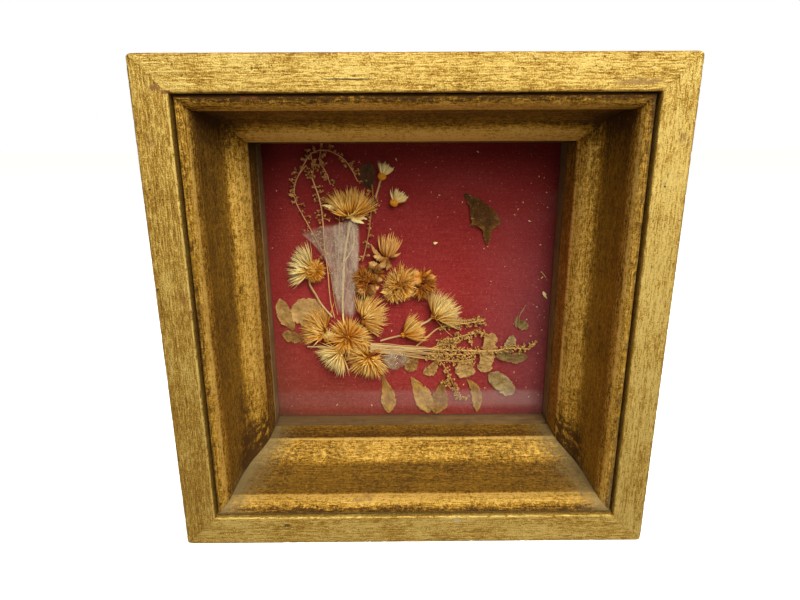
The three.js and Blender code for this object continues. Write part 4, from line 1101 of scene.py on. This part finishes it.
petals(curled, 160, (
    ((-290, 130, -270, 185, -235, 200), (4.4, 6.6, 6.0), 4.0),
    ((-260, 120, -220, 170, -185, 165), (4.6, 6.4, 5.0), 3.8),
    ((-300, 40, -260, 20, -225, 30), (4.4, 6.4, 5.2), 3.8),
    ((-320, 20, -290, -10, -250, -5), (4.2, 6.0, 5.0), 3.4),
    ((-270, 80, -235, 90, -200, 75), (4.2, 6.4, 5.0), 4.0),
    ((-340, 40, -360, 10, -330, -15), (3.6, 5.4, 4.6), 3.0)), shade=(-0.1, 0.9), ruffle=2.0, cup=1.2)
curled.finish("curled_petals", crumpled)
tufts.finish("head_brown_tuft", rusty)
frill = Piece()
cluster(frill, 100, 210, (
    ((-130, 0), 205, 74, 7.6, 30), ((-120, -20), 250, 66, 6.6, 36), ((-50, 0), -40, 74, 7.2, 42),
    ((-100, 50), 120, 66, 8.0, 30), ((-40, 50), 10, 70, 7.0, 36), ((-80, 50), 66, 46, 12.4, 42),
    ((-90, 30), 80, 96, 7.4, 30)), width=0.85, shade=(-0.15, 1.05), wild=0.3, height=3.6)
stem(stalks, (-144, -30, -123, -69, -100, -106), 2.6, 0.5, 12, fade=(0.6, 1.1))
petals(frill, 170, (
    ((-80, 0, -50, -35, -10, -45), (4.0, 5.4, 5.0), 5.2),
    ((-60, 20, -20, -5, 20, -10), (4.0, 5.2, 4.6), 4.6),
    ((-140, 10, -180, -10, -215, -15), (3.6, 4.8, 4.2), 3.4),
    ((-120, -10, -140, -35, -165, -45), (3.8, 4.8, 4.0), 3.2)), shade=(0.3, 1.05), ruffle=1.1, cup=0.9)
frill.finish("head_frilly", straw)
brown = Piece()
cluster(brown, 90, 220, (
    ((85, 65), 30, 60, 8.2, 14), ((70, 20), -60, 60, 7.6, 14), ((75, 0), -105, 60, 7.2, 14),
    ((100, 30), -20, 60, 7.4, 14)), width=0.85, shade=(-0.15, 0.6), wild=0.25)
petals(brown, 180, (
    ((80, 70, 45, 105, 30, 140), (3.6, 5.2, 5.0), 5.6),
    ((80, 60, 40, 65, 0, 40), (3.8, 5.6, 5.0), 5.4),
    ((70, 90, 100, 115, 135, 150), (4.4, 5.8, 5.4), 1.8),
    ((100, 70, 140, 90, 170, 95), (3.6, 4.8, 4.2), 3.4)), shade=(0.15, 0.95), ruffle=1.0, cup=0.9)
brown.finish("head_brown_right", rusty)
head((-58, -340), 30, 42, 14.0, 220, 15, lean=8, bulge=0.9, stalk=(-140, -360, -225, -385)).finish(
    "head_small_right", straw)
head((160, -200), 40, 54, 16.4, 330, 16, bulge=0.75, width=0.85, wild=0.12, shade=(-0.2, 1.0),
     stalk=(120, -235, 65, -265)).finish("head_pale_right", pale)
bud = dict(base=1.8, coat=90, width=1.2, foot=0.8, coat_shade=(-0.6, 0.1), shade=(0.5, 1.3))
head((-197, 785), 66, 36, 7.8, 60, 17, stalk=(-225, 700, -240, 645), **bud).finish("bud_upper", pale)
head((-118, 610), 52, 40, 8.2, 60, 18, **bud).finish("bud_right", pale)
head((-610, -365), 70, 60, 6.4, 90, 19, base=1.4, width=1.0, shade=(0.1, 1.0), height=4.4).finish(
    "bud_low_left", pale)
stalks.finish("head_stalks", stalky)

# %% [markdown]
# ## Seed sprays
# The sprays are thin forked stems set with small florets on short stalks, in loose clusters of four. Each
# stem is a loft. All florets of a stem are one array of small dented balls, two dozen faces each, placed at
# roughly even steps along the line and thrown a little sideways by a random number.


# %% Sprays
LUMPS = 4


def florets(piece, route, height, count, seed, span, throw, size):
    """count clusters beside a smooth line: centre = line point + sideways throw, joined to the line by a
    short stalk, and LUMPS balls thrown round it. A ball is a ring lofted along its own axis, radius
    sqrt(1 - t^2) with a dent per side."""
    rng = np.random.default_rng(seed)
    line = spline(panel(route, height), 400)
    pick = (blend(span, (np.arange(count) + rng.random(count)) / count) * 399).astype(int)
    run, side = (way[pick] for way in lanes(line)[:2])
    side = side * np.where(rng.random(count) < 0.5, -1, 1)[:, None]
    away = unit(side + run * rng.uniform(-0.2, 0.9, count)[:, None]
                + np.array([0, -1, 0]) * rng.uniform(-0.5, 0.5, count)[:, None])
    centre = line[pick] + away * throw * MM * rng.uniform(0.3, 1.25, count)[:, None]
    keep_inside(centre, 1.6, 1.0)
    stalk = np.stack([line[pick], (line[pick] + centre) / 2 + [0, -0.1 * MM, 0], centre], 1)
    across = np.broadcast_to(unit(np.cross(away, [0, 1, 0.1]))[:, None], stalk.shape)
    outward = np.broadcast_to(unit(np.cross(across[:, 0], away))[:, None], stalk.shape)
    thin = np.full((count, 3), 0.15 * MM)
    piece.loft(stalk, across, outward, thin, thin, ring(4), along=0.5, tint=rng.random(count)[:, None, None],
               keel=0.5)
    many = count * LUMPS
    centre = np.repeat(centre, LUMPS, 0) + rng.normal(0, 1, (many, 3)) * size * MM * [0.85, 0.55, 0.85]
    keep_inside(centre, 1.0, 0.6)
    axis = unit(rng.normal(0, 1, (many, 3)))
    side = unit(np.cross(axis, [0.3, 1, 0.2]))
    t = np.linspace(-0.96, 0.96, 5)
    radius = size * MM * rng.uniform(0.6, 1.3, many)[:, None]
    path = centre[:, None] + axis[:, None] * (t[:, None] * radius[..., None])
    dents = ring(6) * np.array([1, 0.8, 1, 0.86, 1.06, 0.78])[:, None]
    girth = radius * np.sqrt(1 - t ** 2) * rng.uniform(0.6, 1.0, many)[:, None]
    piece.loft(path, np.broadcast_to(side[:, None], path.shape),
               np.broadcast_to(np.cross(side, axis)[:, None], path.shape), girth, girth * 0.9, dents,
               along=(t[:, None] * 0.3 + 0.5)[None], tint=rng.random(many)[:, None, None], keel=0.5)


def twig(piece, route, radius, seed, count, span=(0.0, 1.0), throw=2.0, size=0.6, fade=(0.4, 0.9),
         height=1.95, later=10):
    """A thin stem and its florets."""
    stem(piece, route, height, radius, seed, 6, fade)
    florets(piece, route, height, count, seed + later, span, throw, size)


spray = Piece()
for number, (route, count, span, throw) in enumerate((
        ((-700, 860, -760, 785, -790, 700, -780, 610, -700, 440, -630, 300, -590, 200, -565, 105, -550, -60,
          -530, -190), 26, (0.0, 0.62), 2.2),
        ((-760, 785, -720, 860, -670, 930, -600, 955, -530, 945, -450, 900, -400, 830, -360, 750),
         20, (0.15, 1.0), 2.0),
        ((-600, 955, -610, 880, -570, 810, -545, 730), 11, (0.1, 1.0), 1.7))):
    twig(spray, route, 0.24, number + 20, count, span, throw, fade=(0.8, 1.3))
spray.finish("spray_left", seedy)
spray = Piece()
twig(spray, (-665, 775, -630, 665, -615, 580, -605, 480, -600, 320, -585, 145, -575, -75, -550, -210),
     0.34, 24, 20, (0.0, 0.62), 2.4, fade=(0.7, 1.4), height=[1.95, 1.95, 1.95, 2.6, 3.25, 3.25, 3.25, 3.0])
twig(spray, (-665, 775, -655, 860, -670, 940), 0.24, 28, 11)
spray.finish("spray_inner", seedy)
spray = Piece()
twig(spray, (-265, 730, -260, 630, -275, 530, -290, 420, -320, 280, -345, 200), 0.32, 25, 15)
twig(spray, (-490, 560, -500, 400, -510, 250, -520, 80, -530, -60), 0.26, 29, 34, throw=2.6, size=0.5)
spray.finish("spray_right_of_fan", seedy)
stems = Piece()
stem(stems, (-420, 480, -445, 355, -470, 200, -485, 0, -490, -170, -485, -270), 1.95, 0.66, 26,
     fade=(1.2, 1.0))
stem(stems, (-400, 440, -400, 320, -465, 200), 1.95, 0.5, 27, fade=(1.2, 1.0))
stems.finish("stems_under_film", pale, slot="pale_stem")
print("sprays and stems ready")

# %% [markdown]
# ## Leaves
# A dried leaf curls across its width, buckles along its margin and keeps its ribs. Its outline is a list of
# width shares from foot to tip, and each ring is a flat oval, folded at the midrib, so the leaf is a closed
# body that shows the same shape from behind.

# %% Leaves
FORMS = {"lance": [0.10, 0.42, 0.72, 0.92, 1.0, 0.92, 0.66, 0.05],
         "oval": [0.16, 0.62, 0.90, 1.0, 1.0, 0.90, 0.66, 0.06],
         "strip": [0.45, 0.85, 1.0, 0.92, 0.8, 0.9, 1.0, 0.7, 0.2],
         "drop": [0.07, 0.30, 0.55, 0.78, 0.95, 1.0, 0.92, 0.66, 0.1],
         "heart": [0.12, 0.35, 0.62, 0.92, 1.0, 0.9, 0.34, 0.3, 0.05],
         "lobed": [0.25, 0.85, 1.0, 0.85, 0.55, 0.62, 0.72, 0.58, 0.1],
         "broad": [0.20, 0.75, 0.95, 1.0, 0.97, 0.92, 0.80, 0.12]}


FOLD, BUCKLE, CURL, TORN = 0.5, 0.9, 0.5, 0.16


def leaf(piece, rib, width, form, seed, lift=(0.0, 0.0)):
    """A leaf on a smooth rib through panel places. Height = rest + fold * |across| + buckles, coarse and
    fine, that grow to the margin; u and v run along and across it, for the veins."""
    rows, sides = 52, 32
    path = spline(panel(rib, 0.7 + np.linspace(*lift, len(rib) // 2)), rows)
    share = np.linspace(0, 1, rows)
    side, along = lanes(path)[1], share[:, None]
    wide = width * 5 * MM * widths(FORMS[form], share)
    section = ring(sides)
    across = section[:, 0]
    points = loft(path, side, np.tile([0.0, -1.0, 0.0], (rows, 1)), wide, np.full(rows, 0.09 * MM), section)
    points = points + (TORN * ragged(share, across, seed) * wide[:, None])[..., None] * side[:, None]
    reach = np.abs(across)[None] * np.ones((rows, 1))
    wave = soft_noise(along * 7 + seed, across * 1.6 + seed * 3, seed + 2)
    crease = soft_noise(along * 21 + seed, across * 4.5 + seed * 3, seed + 4)
    tall = (FOLD * reach + BUCKLE * reach * wave + 0.3 * crease + CURL * along ** 2 * reach ** 2) * MM
    points[..., 1] -= np.maximum(tall * np.clip(wide / (3 * MM), 0.1, 1)[:, None], -0.3 * MM)
    points[..., 1] = np.minimum(points[..., 1], CLOTH - 0.12 * MM)
    piece.add(points, tube_faces(rows, sides), u=along, v=across, tint=(seed * 0.29) % 1, keel=0.5,
              along=0.3 + 0.3 * along + 0.2 * wave + 0.25 * reach ** 3)


def leafy(name, slot, base, middle, tip, thin, strength, flecks=0.0):
    """A papery dried finish with a midrib and slanting side veins: stripes of u - 0.35 |v| in the UV map,
    and pale flecks where fine noise is high."""
    plant = dried(name, slot, base, middle, tip, 330, 0.0003, 1.1, thin)
    span = plant.node("Math", {0: plant.axis("Y", uv=True)}, operation="ABSOLUTE")
    slant = plant.node("Math", {0: (plant.axis("X", uv=True) - span * 0.35) * 44}, operation="SINE")
    veins = plant.between(slant, 0.8, 1.0) * 0.5 + plant.between(span, 0.08, 0.03)
    colour = Socket(plant, plant.shader.inputs["Base Color"].links[0].from_socket)
    colour = plant.mix(veins * strength, colour, (0.62, 0.47, 0.24))
    if flecks:
        high = plant.between(plant.noise(750, 3, 0.75), 0.58, 0.7)
        colour = plant.mix(high * flecks, colour, (0.55, 0.38, 0.13))
    return plant.drive(Base_Color=colour).bump(veins * -0.4 + plant.noise(420, 5, 0.7), 0.0005)


tan = leafy("tan_leaves", "tan_leaf", (0.26, 0.12, 0.022), (0.48, 0.27, 0.06), (0.70, 0.46, 0.14),
            (0.55, 0.95), 0.2)
olive = leafy("olive_leaves", "olive_leaf", (0.17, 0.11, 0.035), (0.37, 0.26, 0.09), (0.60, 0.47, 0.23),
              (0.38, 0.8), 0.25)
sheer_tan = leafy("sheer_leaf", "tan_leaf", (0.28, 0.14, 0.035), (0.49, 0.285, 0.08), (0.72, 0.49, 0.19),
                  (0.36, 0.82), 0.2)
smoky = leafy("smoky_leaf", "dark_leaf", (0.03, 0.018, 0.008), (0.10, 0.06, 0.022), (0.20, 0.13, 0.05),
              (0.3, 0.7), 0.1)
dark = leafy("dark_leaf", "dark_leaf", (0.045, 0.017, 0.004), (0.115, 0.048, 0.008), (0.25, 0.125, 0.02),
             (0.42, 0.9), 0.04, 0.6)
LEAVES = (
    ("pressed_leaf_dark", dark, (365, 665, 455, 570, 515, 480, 525, 420, 530, 310), 1.3, "heart"),
    ("leaf_at_wall", sheer_tan, (-850, -310, -910, -190, -940, -70), 0.75, "oval"),
    ("leaf_behind_left", sheer_tan, (-600, -230, -740, -180, -860, -140), 1.5, "broad"),
    ("leaf_low_left", sheer_tan, (-790, -385, -870, -355, -940, -340), 0.65, "oval"),
    ("leaf_pointed", tan, (-210, -670, -175, -830, -170, -980), 0.75, "drop"),
    ("leaf_drop_left", tan, (0, -685, 80, -825, 135, -980), 0.95, "drop"),
    ("leaf_drop_right", tan, (225, -720, 220, -860, 180, -985), 0.95, "drop"),
    ("leaf_curved", tan, (420, -705, 490, -810, 500, -980), 0.55, "lance"),
    ("leaf_grey_green", olive, (580, -665, 680, -740, 770, -830), 0.9, "broad"))
for seed, (name, finish, rib, width, form) in enumerate(LEAVES):
    piece = Piece()
    leaf(piece, rib, width, form, seed + 60)
    piece.finish(name, finish)
fragment = Piece()
leaf(fragment, (775, -250, 815, -285, 845, -310), 0.5, "broad", 70)
leaf(fragment, (775, -200, 760, -250, 770, -310), 0.14, "lance", 71)
stem(fragment, (825, -130, 785, -210, 785, -265), 0.7, 0.22, 72, 6)
fragment.finish("leaf_fragment", olive, slot="tan_leaf")
beside_bud = Piece()
leaf(beside_bud, (-265, 700, -295, 790, -270, 875), 0.75, "oval", 73, lift=(1.2, 0.0))
leaf(beside_bud, (-375, 30, -345, -50, -350, -130), 0.42, "oval", 74, lift=(1.2, 2.2))
beside_bud.finish("smoky_leaves", smoky)

# %% [markdown]
# Two sprigs lie at the lower right, over a bundle of bare stems. Each has a list of stems, with the number
# of its floret clusters, the part of the stem that bears them, its thickness and how far they are thrown,
# and a list of leaves.

# %% Sprigs at the lower right, with their florets and leaves
SPRIGS = (
    ("sprig_long", olive, (
        ((-280, -420, -80, -440, 140, -455, 360, -470, 590, -475, 740, -455, 865, -465),
         44, (0.42, 0.98), 0.55, 1.6),
        ((30, -440, 120, -360, 200, -295, 320, -270, 425, -255, 525, -240), 44, (0.4, 1.0), 0.4, 1.7),
        ((160, -450, 260, -395, 360, -360, 450, -340, 540, -330), 30, (0.2, 1.0), 0.36, 1.8),
        ((414, -357, 430, -395, 445, -435), 2, (0.3, 1.0), 0.3, 0.8),
        ((140, -455, 200, -430, 280, -420, 330, -430), 40, (0.2, 1.0), 0.3, 3.0),
        ((865, -465, 885, -440, 895, -415), 7, (0.2, 1.0), 0.25, 0.9)), (
        ((685, -465, 725, -410, 745, -360), 0.5, "oval"),
        ((675, -465, 710, -530, 860, -530), 0.85, "lobed"))),
    ("sprig_short", sheer_tan, (
        ((-260, -465, -80, -500, 65, -525, 210, -545, 360, -555, 460, -540), 46, (0.45, 1.0), 0.5, 1.8),
        ((-200, -460, 0, -475, 140, -490, 280, -500, 400, -500, 500, -490), 40, (0.4, 1.0), 0.36, 1.4),
        ((210, -545, 270, -640, 315, -745, 350, -835, 430, -850), 30, (0.1, 1.0), 0.32, 1.4),
        ((300, -780, 270, -740, 250, -710), 8, (0.2, 1.0), 0.22, 1.2)), (
        ((565, -478, 575, -415, 600, -345), 0.8, "strip"),
        ((575, -475, 550, -565, 535, -650), 0.8, "strip"),
        ((45, -525, 0, -590, -20, -645), 0.6, "oval"),
        ((200, -545, 150, -620, 90, -660), 0.6, "lance"),
        ((370, -555, 400, -620, 420, -690), 1.0, "broad"))))
bundle = Piece()
for number, spot in enumerate(np.linspace(0, 1, 12)):
    sway = 7 * (-1) ** number
    stem(bundle, (-300, -410 - 65 * spot, -150, -425 - 55 * spot + sway, -20, -430 - 65 * spot - sway,
                  100 + 30 * (number % 5), -440 - 85 * spot), 2.0 + 0.3 * (number % 3), 0.3, 230 + number, 6,
         fade=(0.9, 0.4))
bundle.finish("sprig_stem_bundle", stalky)
for number, (name, finish, routes, ribs) in enumerate(SPRIGS):
    sprig, leaves = Piece(), Piece()
    for spot, (route, count, span, radius, throw) in enumerate(routes):
        twig(sprig, route, radius, 80 + 10 * number + spot, count, span, throw, 0.55, (0.8, 0.6), later=20)
    for spot, (rib, width, form) in enumerate(ribs):
        leaf(leaves, rib, width, form, 120 + 10 * number + spot, lift=(1.15, 0.0))
    sprig.finish(name, golden)
    leaves.finish(name + "_leaves", finish)

# %% [markdown]
# ## Dried glue
# The arrangement was stuck down with clear glue. It dried to a wrinkled, milky film over the upright stems
# and to a clear lump at their foot. Both are closed lens shapes from a smooth outline: rings shrink towards
# the middle while their height grows, and noise wrinkles the front.


# %% Glue film and lump
def blob(outline, height, thickness, seed, wrinkle):
    """Rings of a closed outline: ring k is the outline shrunk to share r about its middle, at
    height + thickness * sqrt(1 - r^2.6) less its wrinkles; the back is flat."""
    rings, sides = 16, 96
    closed = spline(panel((*outline, *outline[:2]), 0.0), sides + 1)[:-1]
    middle = closed.mean(0)
    share = np.concatenate([np.linspace(0.02, 1, rings), np.linspace(1, 0.02, rings)])
    points = middle + (closed - middle) * share[:, None, None]
    domed = np.sqrt(np.maximum(1 - share ** 2.6, 0))[:, None]
    front = (np.arange(2 * rings) >= rings)[:, None]
    folds = 0.5 + 0.5 * soft_noise(points[..., 0] * 420, points[..., 2] * 150, seed)
    points[..., 1] = CLOTH - (height + np.where(front, thickness * domed * (1 - wrinkle * folds), 0.0)) * MM
    return Piece().add(points, tube_faces(2 * rings, sides), along=share[:, None], tint=0.5)


def glue(name, colour, least, cloud, roughness, wrinkles, heavier):
    """Clear shader mixed with a milky glossy one; the mask has broad wrinkles, fine ones and bubbles, and
    grows sideways between the two places of heavier."""
    made = Finish(name, "dried_glue", Roughness=roughness, Specular_IOR_Level=0.9)
    streak = made.noise(1, 4, 0.6, stretch=wrinkles)
    fine = made.noise(1, 3, 0.6, stretch=tuple(4 * number for number in wrinkles))
    bubbles = made.between(made.noise(620, 2), 0.62, 0.7)
    made.drive(Base_Color=made.mix(streak, tinted(colour, (0, 0, 0), 0.38), colour))
    made.bump(streak + fine * 0.5 + bubbles * 0.4, 0.0009, 0.8)
    mask = made.between(streak, 0.40, 0.62) * cloud + made.between(fine, 0.5, 0.66) * 0.16 + bubbles * 0.12
    mask = mask * (made.between(made.axis("X"), *heavier) * 0.75 + 0.25) + least
    made.over(made.node("BsdfTransparent", output="BSDF"),
              mask * made.between(made.attribute("along"), 1.0, 0.86))
    return made


film_glue = glue("milky_glue_film", (0.82, 0.68, 0.54), 0.12, 0.30, 0.26, (250, 250, 75), (-0.046, -0.030))
lump_glue = glue("clear_glue_lump", (0.66, 0.54, 0.36), 0.17, 0.34, 0.04, (230, 230, 200), (-0.03, -0.02))
blob((-760, 410, -640, 455, -500, 475, -430, 505, -365, 500, -353, 360, -366, 150, -380, -10, -400, -190,
      -510, -180, -550, -10, -580, 165, -660, 305), 4.05, 0.4, 2, 0.6).finish("glue_film", film_glue)
blob((-210, -470, -130, -460, -40, -475, 0, -530, -25, -585, -75, -610, -120, -635, -200, -600, -222, -535),
     0.3, 3.6, 3, 0.3).finish("glue_lump", lump_glue)

# %% [markdown]
# ## Crumbs
# Bits of seed and bract have fallen on the cloth, most of them to the right. They are tiny seeds and
# slivers, scattered by a seeded random number that favours that side.

# %% Crumbs on the cloth
rng = np.random.default_rng(77)
count = 230
spots = np.stack([1 - 2 * rng.random(count) ** 1.6, rng.uniform(-0.97, 0.97, count)], -1) * 970
size = (0.05 + 0.2 * rng.random(count) ** 2.2)[:, None] * MM
turn = rng.uniform(0, math.pi, count)
way = np.stack([np.cos(turn), np.zeros(count), np.sin(turn)], -1)
t = np.linspace(-0.95, 0.95, 5)
length = t[:, None] * size[..., None] * rng.uniform(1, 3.4, count)[:, None, None]
path = panel(spots, 0.25)[:, None] + way[:, None] * length
girth = size * np.sqrt(1 - t ** 2)
side = np.broadcast_to(np.cross(way, [0, 1, 0])[:, None], path.shape)
outward = np.broadcast_to(np.array([0.0, -1, 0]), path.shape)
crumbs = Piece().loft(path, side, outward, girth, girth * 0.5, ring(5), along=0.9,
                      tint=rng.random(count)[:, None, None], keel=0.5)
petal(crumbs, (945, -30, 955, -55, 975, -85), (0.7, 1.3, 0.8), 1.6, 190, shade=(0.9, 1.2))
petal(crumbs, (155, 330, 165, 325, 185, 330), (0.6, 1.2, 0.7), 1.5, 191, shade=(0.9, 1.3))
stem(crumbs, (920, 115, 935, 100, 958, 71), 0.5, 0.14, 192, 5, fade=(1.2, 1.2))
crumbs.finish("crumbs_on_cloth", pale)

# %% [markdown]
# ## End
# The dressed object must keep the solids' box.

# %% End
print("scene dressed")
